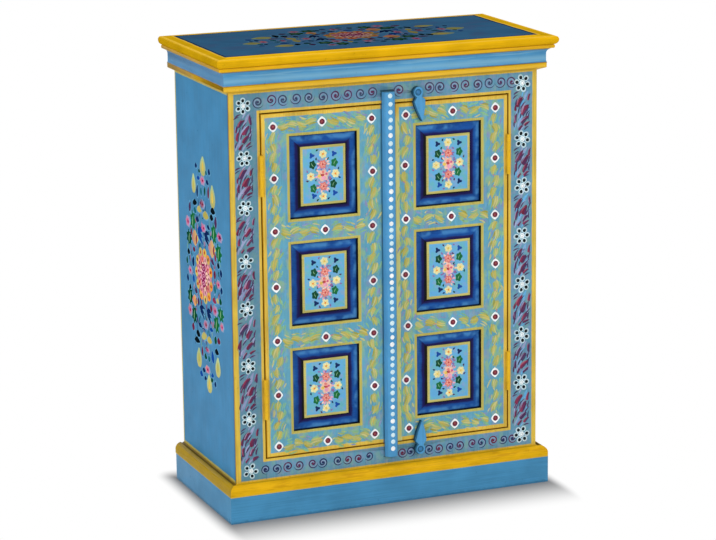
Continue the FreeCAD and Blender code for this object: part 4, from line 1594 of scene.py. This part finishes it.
def blossom(brush: Brush, at: Point, size: float, outer: Pot, inner: Pot, eye: Pot,
            level: int = 2) -> None:
    """A full blossom of round petals with short strokes and an eye.

    Args:
        brush: The brush on its face.
        at: The blossom's middle.
        size: Its radius.
        outer: The pot of its petals.
        inner: The pot of the strokes on them.
        eye: The pot of its eye.
        level: Layers under it.
    """
    petals = 5 if size < 8 else 6
    first = brush.hand.uniform(0, 360)
    brush.dab(at, size * 0.72, outer, level=level)
    for n in range(petals):
        turn = first + 360 * n / petals
        brush.dab(swung(at, size * 0.58, turn), (size * 0.44, size * 0.40),
                  outer, turn=turn, level=level, edge=toned(outer, 0.85), segments=10)
        brush.leaf(swung(at, size * 0.5, turn), size * 0.66, size * 0.24, turn,
                   inner, tip=outer, level=level + 1, segments=8)
    brush.dab(at, size * 0.27, eye, level=level + 2, segments=8)


def bouquet(brush: Brush, at: Point) -> None:
    """The upright spray on a raised field.

    Args:
        brush: The brush on the field.
        at: The field's middle.
    """
    def spot(u: float, v: float) -> Point:
        """The point off the middle, a little unsteady."""
        return shifted(at, u + brush.shake(0.8), v + brush.shake(0.8))

    for u, v in ((-21, 20), (22, 22), (21, -18), (-20, -24)):
        at_leaf = spot(u, v)
        brush.dab(at_leaf, (6.4, 7.8), brush.pick(Pot.GREEN, Pot.DARK_GREEN), lobes=5, ripple=0.15,
                  level=1)
        brush.leaf(at_leaf, 9.0, 1.4, 90 - math.copysign(25, u), Pot.LEAF_SAGE, level=2,
                   segments=8)
    for u, v in ((-22, 38), (22, 39), (22, -36), (-18, -39)):
        brush.dab(spot(u, v), 4.6, brush.pick(Pot.ROYAL, Pot.NAVY), lobes=3, ripple=0.34,
                  level=1)
    for u, v in ((-31, 8), (31, 11), (32, -6), (-31, -10), (-11, 46), (11, 46), (-10, -47),
                 (11, -46), (-14, 31), (10, 30), (-13, 11), (12, 10), (15, -9), (-14, -10),
                 (-11, -31), (12, -31)):
        brush.leaf(spot(u, v), 6.0, 3.4, brush.hand.uniform(0, 180),
                   brush.pick(Pot.NAVY, Pot.DARK_PLUM, Pot.DARK_GREEN, Pot.MAUVE), level=1,
                   segments=8)
    for centre, reach in ((20, 10.8), (-21, 10.8), (0, 14.5)):
        for n in range(13):
            turn = math.tau * n / 13 + brush.shake(0.1)
            brush.leaf(spot(reach * math.cos(turn), centre + reach * math.sin(turn)), 7.0, 3.8,
                       math.degrees(turn), brush.pick(Pot.PINK, Pot.SHELL, Pot.LILAC, Pot.MAUVE),
                       level=1, segments=8)
    for u, v, size in ((0, 39.5, 8.0), (0, -40.5, 7.8), (-24, -1, 8.0), (24, 1, 8.2)):
        blossom(brush, spot(u, v), size, Pot.CREAM, Pot.CREAM_DEEP,
                brush.pick(Pot.CREAM_DEEP, Pot.ORANGE))
    for v in (20, -21):
        blossom(brush, spot(0, v), 8.4, Pot.SALMON, Pot.SHELL, Pot.SALMON_DEEP, level=3)
    blossom(brush, spot(0, 0), 12.0, Pot.SHELL, Pot.SALMON, Pot.SALMON_DEEP, level=3)
    for u, v, size, pot in ((1, -6, 4.4, Pot.PINK), (-7, -1, 3.4, Pot.CREAM_DEEP),
                            (-1, 6, 3.0, Pot.SALMON), (6, 2, 2.6, Pot.ROSE),
                            (-3, 1, 1.5, Pot.MAROON), (13, -7, 3.2, Pot.MAUVE)):
        brush.dab(spot(u, v), size, pot, level=6, segments=10)


class Mark(Enum):
    """Marks of the tall painting: their pots, and then for each mark its place across and up
    from the rosette's middle, its width and its height."""

    VINE = ((Pot.DARK_GREEN, Pot.NAVY, Pot.LEAF_SAGE),
            (40, 112, 2, 34), (68, 74, 2, 38), (92, 50, 2, 36), (34, 78, 2, 28), (20, 134, 2, 30),
            (-40, 112, 2, 34), (-68, 74, 2, 38), (-88, 40, 2, 36), (-34, 82, 2, 28),
            (-20, 134, 2, 30),
            (44, -100, 2, 34), (76, -56, 2, 38), (-44, -100, 2, 34), (-70, -50, 2, 38),
            (20, -134, 2, 30), (-22, -134, 2, 30), (72, 8, 2, 34), (-72, 4, 2, 34),
            (10, 112, 30, 2), (-6, -108, 30, 2), (80, 118, 2, 26), (-58, -136, 2, 24))
    YELLOW = ((Pot.DROP, Pot.LEAF_GOLD),
              (-18, 123, 28, 14), (18, 118, 36, 17), (75, -33, 17, 11), (-6, -120, 36, 16),
              (24, -121, 33, 15))
    DROP = ((Pot.DROP,),
            (7, 211, 32, 35), (-48, 169, 24, 36), (58, 162, 31, 41), (-39, -168, 30, 34),
            (68, -162, 29, 33), (17, -207, 30, 33))
    GREEN = ((Pot.GREEN, Pot.DARK_GREEN, Pot.DARK_GREEN),
             (-56, 95, 23, 31), (62, 93, 24, 31), (-80, 58, 25, 24), (86, 60, 27, 29),
             (-82, -57, 24, 26), (91, -55, 27, 22), (66, -79, 24, 28), (-61, -89, 24, 28))
    BLUE = ((Pot.ROYAL, Pot.NAVY),
            (-16, 75, 27, 26), (22, 76, 26, 23), (-14, -73, 26, 19), (25, -72, 26, 22))
    SALMON = ((Pot.SALMON, Pot.DUSTY_ROSE),
              (-47, 63, 31, 25), (49, 61, 33, 27), (-56, -60, 24, 18))
    BLOSSOM = ((Pot.PETAL, Pot.DUSTY_ROSE),
               (5, 183, 29, 18), (-85, 88, 27, 22), (-78, -6, 23, 17), (82, 0, 25, 18),
               (-84, -85, 25, 23), (60, -55, 30, 21), (6, -94, 26, 18), (97, -78, 22, 18))
    WINE = ((Pot.MAROON,),
            (1, 137, 29, 18), (11, -142, 27, 12))
    ROSE = ((Pot.ROSE,),
            (5, 92, 27, 17), (95, 92, 30, 18))
    PEACH = ((Pot.SALMON,),
             (10, -181, 29, 16))
    NAVY = ((Pot.NAVY, Pot.NAVY, Pot.ROYAL),
            (-31, 205, 13, 9), (-19, 184, 16, 8), (31, 184, 16, 9), (-30, 102, 17, 11),
            (32, 98, 16, 8), (-59, 15, 12, 20), (-93, -23, 11, 14), (-59, -18, 12, 17),
            (-27, -103, 19, 9), (36, -97, 17, 8), (-12, -187, 15, 9), (-4, -201, 12, 8),
            (37, -186, 13, 8), (43, 205, 13, 11), (98, 25, 12, 14), (99, -8, 11, 14),
            (-27, -198, 16, 11), (52, -199, 10, 12), (-26, 158, 9, 24), (41, -149, 14, 22))
    BLACK = ((Pot.BLACK,),
             (-43, 132, 22, 11), (59, 134, 25, 12), (-85, 29, 15, 11), (84, 36, 13, 11),
             (-80, -39, 13, 10), (-47, -137, 30, 11), (64, -134, 21, 11), (51, 121, 19, 12),
             (-40, -122, 21, 13))
    TEAL = ((Pot.TEAL, Pot.DARK_GREEN),
            (-42, 117, 15, 11), (-95, 11, 9, 15), (0, -158, 15, 11), (20, -157, 12, 12),
            (92, -31, 13, 12), (-13, 198, 10, 7), (26, 201, 11, 9), (59, -112, 13, 15),
            (33, -196, 14, 9), (-4, 161, 9, 17), (17, 165, 9, 18), (62, -13, 12, 18))
    PLUM = ((Pot.DARK_PLUM, Pot.MAROON),
            (63, 15, 12, 18), (38, -54, 12, 15), (37, 166, 9, 23), (-72, 119, 11, 21),
            (74, 116, 13, 23), (-34, -58, 11, 17), (77, -110, 17, 12), (-18, -151, 9, 20),
            (-53, 40, 15, 10), (52, 36, 17, 9), (-47, -40, 14, 11), (-68, -114, 14, 15))
    CRIMSON = ((Pot.CRIMSON, Pot.MAROON),
               (-21, -37, 18, 13), (57, -37, 20, 10), (-66, 72, 9, 16), (68, 50, 9, 18))

    def __init__(self, pots: tuple[Pot, ...], *places: tuple[int, int, int, int]) -> None:
        """The pots that its colour is taken from, and its marks."""
        self.pots = pots
        self.places = places

    def paint(self, brush: Brush, at: Point, wide: float, tall: float) -> None:
        """Paints one mark of this kind.

        Args:
            brush: The brush on its face.
            at: The mark's middle.
            wide: Its width.
            tall: Its height.
        """
        colour = brush.pick(*self.pots)
        if self is Mark.VINE:
            brush.leaf(at, max(wide, tall), 2.2, (90 if tall > wide else 0) + brush.shake(20),
                       colour, bend=0.14)
            return
        large = self in (Mark.DROP, Mark.BLOSSOM, Mark.ROSE, Mark.WINE, Mark.PEACH, Mark.YELLOW)
        wide, tall = (side * (1.0 if large else 1.18) for side in (wide, tall))
        tall *= 1.25 if self is Mark.DROP else 1.0
        long, thick, angle = (tall, wide, 90.0) if tall > wide else (wide, tall, 0.0)
        if self is not Mark.DROP:
            brush.dab(at, (wide / 2 + 1.0, tall / 2 + 0.6), Pot.HALO, level=1)
        if self is Mark.DROP:
            brush.leaf(at, tall, wide, 90 if at[1] > 0 else -90, colour, tip=Pot.DROP_EDGE,
                       bend=0.0, level=2)
            brush.leaf(at, tall * 0.55, wide * 0.34, 90, brush.pick(Pot.LEAF_GOLD, Pot.CREAM_DEEP),
                       bend=0.0, level=3, segments=10)
        elif self is Mark.GREEN:
            brush.dab(at, (wide / 2, tall / 2), colour, lobes=7, ripple=0.15, level=2)
            brush.leaf(at, tall * 0.7, wide * 0.14, 80, Pot.LEAF_SAGE, level=3, segments=8)
        elif self is Mark.BLUE:
            for turn in (-35, 0, 35):
                brush.leaf(shifted(at, 0, turn * tall * 0.008), wide * 1.05, tall * 0.36,
                           turn * 0.6 - 12, colour, level=2, segments=10)
        elif self is Mark.SALMON:
            brush.dab(at, (wide / 2, tall / 2), colour, edge=Pot.CREAM_DEEP, lobes=4,
                      ripple=0.08, level=2)
            brush.leaf(shifted(at, wide * 0.3, 0), tall * 0.8, wide * 0.24, 80,
                       brush.pick(Pot.CRIMSON, Pot.MAROON), level=3, segments=10)
        elif self in (Mark.BLOSSOM, Mark.WINE, Mark.ROSE, Mark.PEACH):
            inner = Pot.MAGENTA if self is Mark.ROSE else Pot.ROSE_RED
            brush.dab(at, (wide / 2, tall / 2), colour, lobes=6, ripple=0.1, level=2,
                      edge=Pot.LILAC)
            brush.dab(at, (wide * 0.26, tall * 0.28), brush.pick(inner, Pot.ROSE), lobes=5, level=3)
            brush.dab(at, (wide * 0.12, tall * 0.14), Pot.MAROON, level=4, segments=8)
        else:
            brush.leaf(at, long, thick, angle + brush.shake(14), colour, bend=0.05, level=2,
                       fat=0.9)


def garland(brush: Brush, at: Point) -> None:
    """A tall lozenge of flowers round a large rosette.

    Args:
        brush: The brush on its face.
        at: The rosette's middle.
    """
    count, reach, lozenge, clear = 330, (98, 150), (104, 172), (50, 56)
    for _ in range(count):
        u, v = brush.shake(reach[0]), brush.shake(reach[1])
        inside = abs(u) / lozenge[0] + abs(v) / lozenge[1] < 1
        if inside and math.hypot(u / clear[0], v / clear[1]) > 1:
            brush.leaf(shifted(at, u, v), 14 + brush.shake(4), 3.6 + brush.shake(0.8),
                       90 + brush.shake(35), brush.pick(
                           Pot.NAVY, Pot.DARK_GREEN, Pot.DARK_GREEN, Pot.DARK_PLUM, Pot.CRIMSON,
                           Pot.PETAL, Pot.ROSE_RED, Pot.LILAC, Pot.TEAL))
    for mark in Mark:
        for u, v, wide, tall in mark.places:
            mark.paint(brush, shifted(at, u, v), wide, tall)
    rosette(brush, at, (48.5, 54.0))


def rosette(brush: Brush, at: Point, radii: Point) -> None:
    """Rings of petals, yellow and red outside, pink inside, round dark rings.

    Args:
        brush: The brush on its face.
        at: The rosette's middle.
        radii: Its radii across and up.
    """
    def spot(reach: float, degrees: float) -> Point:
        """The point at a share of the radii, in a direction."""
        turn = math.radians(degrees)
        return shifted(at, radii[0] * reach * math.cos(turn), radii[1] * reach * math.sin(turn))

    def size(share: float, squash: float = 1.0) -> Point:
        """A share of the radii."""
        return radii[0] * share, radii[1] * share * squash

    rings = ((0.84, 11, 0.19, (Pot.ORANGE, Pot.CREAM_DEEP, Pot.DROP),
              (Pot.RED, Pot.MAROON, Pot.RED), Pot.DUSTY_ROSE, 4),
             (0.59, 10, 0.165, (Pot.SALMON, Pot.SHELL, Pot.PINK), (Pot.RED, Pot.CRIMSON),
              Pot.CRIMSON, 7),
             (0.37, 8, 0.135, (Pot.SHELL, Pot.PINK, Pot.SHELL), (Pot.SALMON_DEEP, Pot.CRIMSON),
              Pot.CRIMSON, 10))
    for reach, count, share, petals, eyes, under, level in rings:
        brush.dab(at, size(reach + 0.07), under, level=level - 1, segments=36)
        for n in range(count):
            degrees = 360 * (n + level / 8) / count + brush.shake(3)
            brush.dab(spot(reach, degrees), size(share), brush.pick(*petals), turn=degrees,
                      level=level, edge=brush.pick(*petals))
            brush.leaf(spot(reach * 1.03, degrees), radii[0] * share * 1.15,
                       radii[0] * share * 0.75, degrees, brush.pick(*eyes), bend=0.0,
                       level=level + 1, segments=10)
    brush.dab(at, size(0.27, 1.35), Pot.PINK, level=12, segments=20)
    for v in (0.28, 0.0, -0.28):
        middle = shifted(at, brush.shake(1), radii[1] * v)
        brush.dab(middle, size(0.25, 0.62), Pot.MAGENTA, level=13)
        brush.dab(middle, size(0.14, 0.5), Pot.PINK, level=14)
        brush.dab(middle, size(0.07, 0.7), Pot.MAGENTA, level=15, segments=8)


@dataclass
class Painting:
    """The painted flowers on the case."""

    plan: Plan
    strokes: Finish
    side_strokes: Finish
    top_strokes: Finish
    side_middle: Point = (-22.2, 436.2)
    top_middle: Point = (-17.7, -4.6)
    left_flowers: tuple[float, ...] = (782.0, 685.5, 593.2, 492.8, 403.8, 295.3, 193.7, 93.2)
    right_flowers: tuple[float, ...] = (783.2, 676.2, 586.2, 489.7, 394.8, 295.1, 200.9, 96.3)
    header_scrolls: tuple[float, ...] = (
        -251.6, -225.9, -202.6, -177.3, -152.0, -125.2, -99.6, -76.6, -50.2, -27.7, 26.5, 86.5,
        109.5, 137.3, 161.1, 184.9, 209.6, 232.9, 255.6)
    bottom_scrolls: tuple[float, ...] = (
        -249.6, -228.0, -204.7, -183.0, -155.5, -135.3, -104.6, -84.4, -62.5, -41.1, 27.5,
        44.0, 83.2, 103.0, 127.1, 146.7, 173.7, 192.3, 217.8, 239.0, 258.0)

    def lay(self) -> None:
        """Paints stiles, rails, sides and top."""
        front = Face.fore(0, self.plan.front)
        for name, x, heights, seed, size, pale in (
                ("left", -280.0, self.left_flowers, 12, 0.97, (Pot.LILAC, Pot.FRAME_LILAC)),
                ("right", 277.5, self.right_flowers, 11, 1.08, (Pot.FIELD_BLUE, Pot.LILAC))):
            brush = Brush(front, seed)
            marks = [(x + brush.shake(1.0), z) for z in heights]
            for upper, lower in zip(marks, marks[1:]):
                stile_vine(brush, lower, upper, pale, clear=15 * size)
            for mark in marks:
                stile_flower(brush, mark, size)
            brush.finish(f"{name}_stile_flowers", "cabinet", self.strokes)
        self._scrolls(Brush(front, 21), "header_scrolls", self.header_scrolls, (788.0, 11.8),
                      (Pot.SCROLL, Pot.SCROLL, Pot.DARK_PLUM))
        self._scrolls(Brush(front, 22), "bottom_scrolls", self.bottom_scrolls, (91.5, 10.4),
                      (Pot.SCROLL_DARK, Pot.SCROLL_DARK, Pot.MAROON))
        self._sides()
        self._top()

    def _scrolls(self, brush: Brush, name: str, places: Sequence[float], row: Point,
                 pots: Sequence[Pot]) -> None:
        """A row of curls between the stile flowers.

        Args:
            brush: The brush on the face frame.
            name: The row's name.
            places: Where its curls stand from left to right.
            row: Their height and their radius.
            pots: The pots that their colours are taken from.
        """
        height, radius = row
        for n, x in enumerate(places):
            scroll(brush, (x, height + brush.shake(1.5)), radius, 1 if n % 2 else -1, *pots)
        brush.finish(name, "cabinet", self.strokes)

    def _sides(self) -> None:
        """A tall garland on each side of the case."""
        for name, side in (("left", -1), ("right", 1)):
            face = Face(Vector((side * self.plan.half_case, 0, 0)), Vector((0, -1, 0)),
                        Vector((0, 0, 1)), Vector((side, 0, 0)))
            brush = Brush(face, 31 if side < 0 else 32)
            garland(brush, self.side_middle)
            brush.finish(f"{name}_side_garland", "cabinet", self.side_strokes)

    def _top(self) -> None:
        """The same garland lying along the top."""
        face = Face(Vector((0, 0, self.plan.top - TOP_SINK)), Vector((0, -1, 0)),
                    Vector((1, 0, 0)), Vector((0, 0, 1)))
        brush = Brush(face, 41, layer=0.012)
        garland(brush, self.top_middle)
        brush.finish("top_garland", "cabinet", self.top_strokes)


@dataclass
class Furniture:
    """Centre strip, turn buttons and hinges.

    The dots keep clear of the strip's foot and head. A screw's disc is radius and height, and
    its round is the radii at foot and crown and the height.
    """

    plan: Plan
    dot_pitches: tuple[tuple[float, float], ...] = ((545.0, 14.9), (410.0, 12.2), (0.0, 13.5))
    dot_radius: float = 4.6
    dot_height: float = 0.9
    dots_clear: Point = (5.0, 6.5)
    pivot_across: float = 61.0
    pivots: tuple[tuple[str, float, int, float], ...] = (("upper", 783.2, -1, 8.0),
                                                         ("lower", 96.1, 1, 3.0))
    leaf_inset: float = 1.75
    screw_depth: float = 9.0
    screw_steps: tuple[tuple[int, float], ...] = ((-1, -2.5), (0, 2.5), (1, -2.5))
    screw_spacing: float = 26.0
    screw_disc: Point = (3.2, 0.16)
    screw_round: tuple[float, float, float] = (3.1, 2.7, 0.3)
    screw_lift: float = 0.1
    slot_half: float = 0.35

    def dress(self, strokes: Finish) -> None:
        """Gives them their finishes, dots and screws."""
        plan = self.plan
        middle = sum(plan.strip_edges) / 2
        paint = StripPaint("strip_paint", Pot.STRIP_BLUE, Along.UPRIGHT, specular=0.05,
                           middle=middle, face=plan.door_face).build()
        standing_for("strip", ["centre_strip"], joined_copy(["centre_strip"]), "right_door",
                     [paint])
        for level, height, tail, lean in self.pivots:
            node, body = f"{level}_turn_button", f"{level}_button"
            paint = ButtonPaint(f"{body}_paint", Pot.STRIP_BLUE, Along.UPRIGHT, specular=0.03,
                                face=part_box(node)[0].y / MM, tail=tail, lean=lean,
                                pivot=(self.pivot_across, height)).build()
            standing_for(f"{body}_plate", [node], joined_copy([node]), body, [paint])
        yellow = BrushedPaint("hinge_paint", Pot.COLLAR_YELLOW, Along.UPRIGHT, sheen=0.34).build()
        for side in ("left", "right"):
            for level in ("upper", "lower"):
                for part in ("frame", "door"):
                    dress_node(f"{side}_{level}_{part}_leaf", yellow)
        steel = Steel("screw_steel").build()
        dress_node("hinge_pins", yellow)
        dress_node("turn_button_screws",
                   BrushedPaint("pivot_paint", Pot.STRIP_SHADE, Along.UPRIGHT).build())
        dress_node("turn_button_washers", steel)
        self._dots(strokes, middle)
        self._screws(steel)

    def _dots(self, strokes: Finish, middle: float) -> None:
        """Raised white dots down the strip's crest."""
        plan = self.plan
        brush = Brush(Crest.fore(middle, plan.strip_crown), 51)
        low, high = plan.strip_span
        height = high - self.dots_clear[1]
        while height > low + self.dots_clear[0]:
            brush.bead((brush.shake(0.5), height), self.dot_radius + brush.shake(0.25),
                       self.dot_height, brush.pick(Pot.ICE, Pot.ICE, Pot.WHITE))
            pitch = next(gap for above, gap in self.dot_pitches if height > above)
            height -= pitch * (1.0 + brush.shake(0.05))
        brush.finish("strip_dots", "right_door", strokes)

    def _screws(self, steel: Finish) -> None:
        """Slotted screw heads on the hinge leaves."""
        half = self.plan.half_opening
        rows = (("cabinet", ("left", "right"), "frame", half, -1),
                ("left_door", ("left",), "door", half - self.leaf_inset, 1),
                ("right_door", ("right",), "door", half - self.leaf_inset, 1))
        for body, sides, part, across, facing in rows:
            mesh = bmesh.new()
            for side in sides:
                sign = -1 if side == "left" else 1
                for level in ("upper", "lower"):
                    low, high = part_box(f"{side}_{level}_{part}_leaf")
                    for step, shift in self.screw_steps:
                        deep = self.plan.door_face + self.screw_depth + shift
                        at = Vector((sign * across * MM, deep * MM,
                                     (low.z + high.z) / 2 + step * self.screw_spacing * MM))
                        self._screw(mesh, at, sign * facing)
            bmesh.ops.recalc_face_normals(mesh, faces=mesh.faces[:])
            make_piece(f"{body}_screws", mesh, body, [steel])

    def _screw(self, mesh: Shape, at: Vector, outward: int) -> None:
        """One head: a thin disc with two half rounds on it and the slot between them.

        Args:
            mesh: The screws of a body, to which it is added.
            at: Its middle, in metres.
            outward: 1 to look right, or -1 to look left.
        """
        turn = Matrix.Translation(at) @ Matrix.Rotation(math.radians(90 * outward), 4, "Y")
        round_end = {"cap_ends": True, "segments": 20}
        radius, height = (size * MM for size in self.screw_disc)
        bmesh.ops.create_cone(mesh, **round_end, radius1=radius, radius2=radius, depth=height,
                              matrix=turn)
        foot, crown, height = (size * MM for size in self.screw_round)
        lift = Matrix.Translation((0, 0, self.screw_lift * MM))
        for side in (-1, 1):
            half = bmesh.new()
            bmesh.ops.create_cone(half, **round_end, radius1=foot, radius2=crown, depth=height,
                                  matrix=lift)
            cut = bmesh.ops.bisect_plane(half, geom=half.verts[:] + half.edges[:] + half.faces[:],
                                         plane_co=(0, side * self.slot_half * MM, 0),
                                         plane_no=(0, -side, 0), clear_outer=True)
            rim = [e for e in cut["geom_cut"] if isinstance(e, bmesh.types.BMEdge)]
            bmesh.ops.holes_fill(half, edges=rim)
            bmesh.ops.transform(half, matrix=turn, verts=half.verts)
            add_to(mesh, half)


@dataclass
class Studio:
    """Pale floor, soft light and the camera at the photograph's place."""

    camera_at: tuple[float, float, float] = (-1.9840, -4.8702, 1.6614)
    yaw: float = 22.12
    pitch: float = 13.27
    roll: float = -0.649
    lens: float = 141.94
    plinth_half: Point = (326.0, 160.0)
    plinth_middle: float = 6.5
    shade_reach: tuple[float, float, float, float] = (38.0, 28.0, 150.0, 60.0)
    lamps: tuple[tuple[str, Colour, float, float], ...] = (
        ("key", (1.7, -3.4, 2.3), 2.4, 60.0), ("fill", (-3.6, -1.4, 1.7), 2.4, 62.0),
        ("overhead", (0.2, 0.4, 3.6), 3.0, 50.0))
    lamps_face: tuple[float, float, float] = (0.0, 0.0, 0.45)
    sky: float = 0.4
    white: Colour = (1.0, 1.0, 1.0)

    def build(self) -> None:
        """Sets up the camera, the floor, the lamps and the world."""
        self._camera()
        self._floor()
        for lamp in self.lamps:
            self._lamp(*lamp)
        self._world()
        bpy.context.scene.view_settings.view_transform = "Standard"

    def _camera(self) -> None:
        """The camera, turned by yaw, pitch and roll."""
        yaw, pitch, roll = (math.radians(v) for v in (self.yaw, self.pitch, self.roll))
        ahead = Vector((math.sin(yaw) * math.cos(pitch), math.cos(yaw) * math.cos(pitch),
                        -math.sin(pitch)))
        right = Vector((math.cos(yaw), -math.sin(yaw), 0))
        up = right.cross(ahead)
        across = right * math.cos(roll) + up * math.sin(roll)
        rise = -right * math.sin(roll) + up * math.cos(roll)
        data = bpy.data.cameras.new("camera")
        data.lens, data.sensor_width = self.lens, 36.0
        camera = placed("camera", data)
        turn = Matrix((across, rise, -ahead)).transposed().to_4x4()
        camera.matrix_world = Matrix.Translation(self.camera_at) @ turn
        bpy.context.scene.camera = camera

    def _floor(self) -> None:
        """A wide pale floor that shows white to the camera away from the cabinet; near the plinth
        the camera sees it painted grey, a painted contact shadow over the cabinet's own shadow.
        """
        mesh = bmesh.new()
        bmesh.ops.create_grid(mesh, x_segments=1, y_segments=1, size=14.0)
        bench = Bench("floor_paint")
        x, y, _ = bench.axes()
        wide, deep = self.plinth_half
        left, right, fore, rear = self.shade_reach
        aside = ((x - wide) * (1 / right)).most((-1 * x - wide) * (1 / left)).most(0.0)
        y = y - self.plinth_middle
        along = ((y - deep) * (1 / rear)).most((-1 * y - deep) * (1 / fore)).most(0.0)
        distance = (aside * aside + along * along) ** 0.5
        # The white share grows with the distance from the plinth; nearer, the camera sees the floor
        # painted grey as a painted contact shadow.
        white = bench.rise(distance, -0.2, 1.0)
        seen = bench.ray("Camera")
        blots = bench.noise(5.0)
        shade = bench.mix(seen, Pot.FLOOR, Pot.FLOOR_SHADE)
        floor_paint = bench.surface(shade, 0.9, blots, 0.1, {"Specular IOR Level": 0.1})
        glow = bench.node("ShaderNodeEmission", {}, {"Color": self.white, "Strength": 1.0})
        finish = bench.show(bench.node("ShaderNodeMixShader", {}, {
            0: seen * white, 1: floor_paint, 2: glow}))
        data = held("floor", mesh)
        data.materials.append(finish)
        placed("floor", data)

    def _lamp(self, name: str, at: tuple[float, float, float], size: float, power: float) -> None:
        """A soft square lamp that faces the cabinet's middle.

        Args:
            name: Its name.
            at: Its place.
            size: The length of its sides.
            power: Watts.
        """
        data = bpy.data.lights.new(name, "AREA")
        data.size, data.energy = size, power
        lamp = placed(name, data)
        lamp.location = at
        sight = Vector(self.lamps_face) - Vector(at)
        lamp.rotation_euler = sight.to_track_quat("-Z", "Y").to_euler()

    def _world(self) -> None:
        """White all round, dimmer where it lights the cabinet."""
        bench = Bench("studio", "worlds")
        bright = bench.ray("Camera", "Glossy", "Transmission")
        back = bench.node("ShaderNodeBackground", {}, {
            "Color": self.white, "Strength": bright * (1 - self.sky) + self.sky})
        bpy.context.scene.world = bench.show(back, "ShaderNodeOutputWorld")


LEFT_DOOR = {
    "hinge_marks": ((-223.5, 739.0), (-223.0, 643.0), (-222.5, 544.0), (-222.5, 439.0),
                    (-222.0, 337.0), (-222.0, 233.0), (-222.5, 134.0)),
    "meeting_marks": ((-29.5, 740.0), (-28.5, 641.0), (-29.5, 538.0), (-29.0, 433.0),
                      (-29.5, 332.0), (-28.5, 229.5), (-29.0, 135.0)),
    "rail_marks": ((-127.5, 741.8), (-123.8, 539.3), (-125.5, 335.0), (-124.6, 133.5)),
}
RIGHT_DOOR = {
    "hinge_marks": ((221.5, 740.9), (221.0, 644.8), (221.0, 535.9), (222.0, 440.8),
                    (221.5, 336.6), (221.0, 226.7), (222.0, 135.8)),
    "meeting_marks": ((38.9, 740.9), (37.0, 646.1), (38.2, 544.0), (36.1, 438.0), (40.7, 338.4),
                      (36.4, 233.3), (41.0, 137.8)),
    "rail_marks": ((133.9, 741.3), (130.7, 540.8), (133.0, 335.7), (136.7, 135.1)),
}


def main() -> None:
    """Builds the studio, the cabinet's woodwork and its painting."""
    logging.basicConfig(level=logging.INFO, format="%(name)s %(message)s")
    plan = Plan.read()
    strokes = ThickPaint("thick_paint").build()
    Studio().build()
    Case(plan).dress()
    Door(plan, "left", -1, 61, **LEFT_DOOR).dress(strokes)
    Door(plan, "right", 1, 62, **RIGHT_DOOR).dress(strokes)
    Furniture(plan).dress(strokes)
    Painting(plan, strokes, ThickPaint("side_strokes", specular=0.0, tone=1.0).build(),
             ThickPaint("top_strokes", specular=0.0, tone=0.29).build()).lay()
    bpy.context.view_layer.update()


if __name__ == "__main__":
    main()
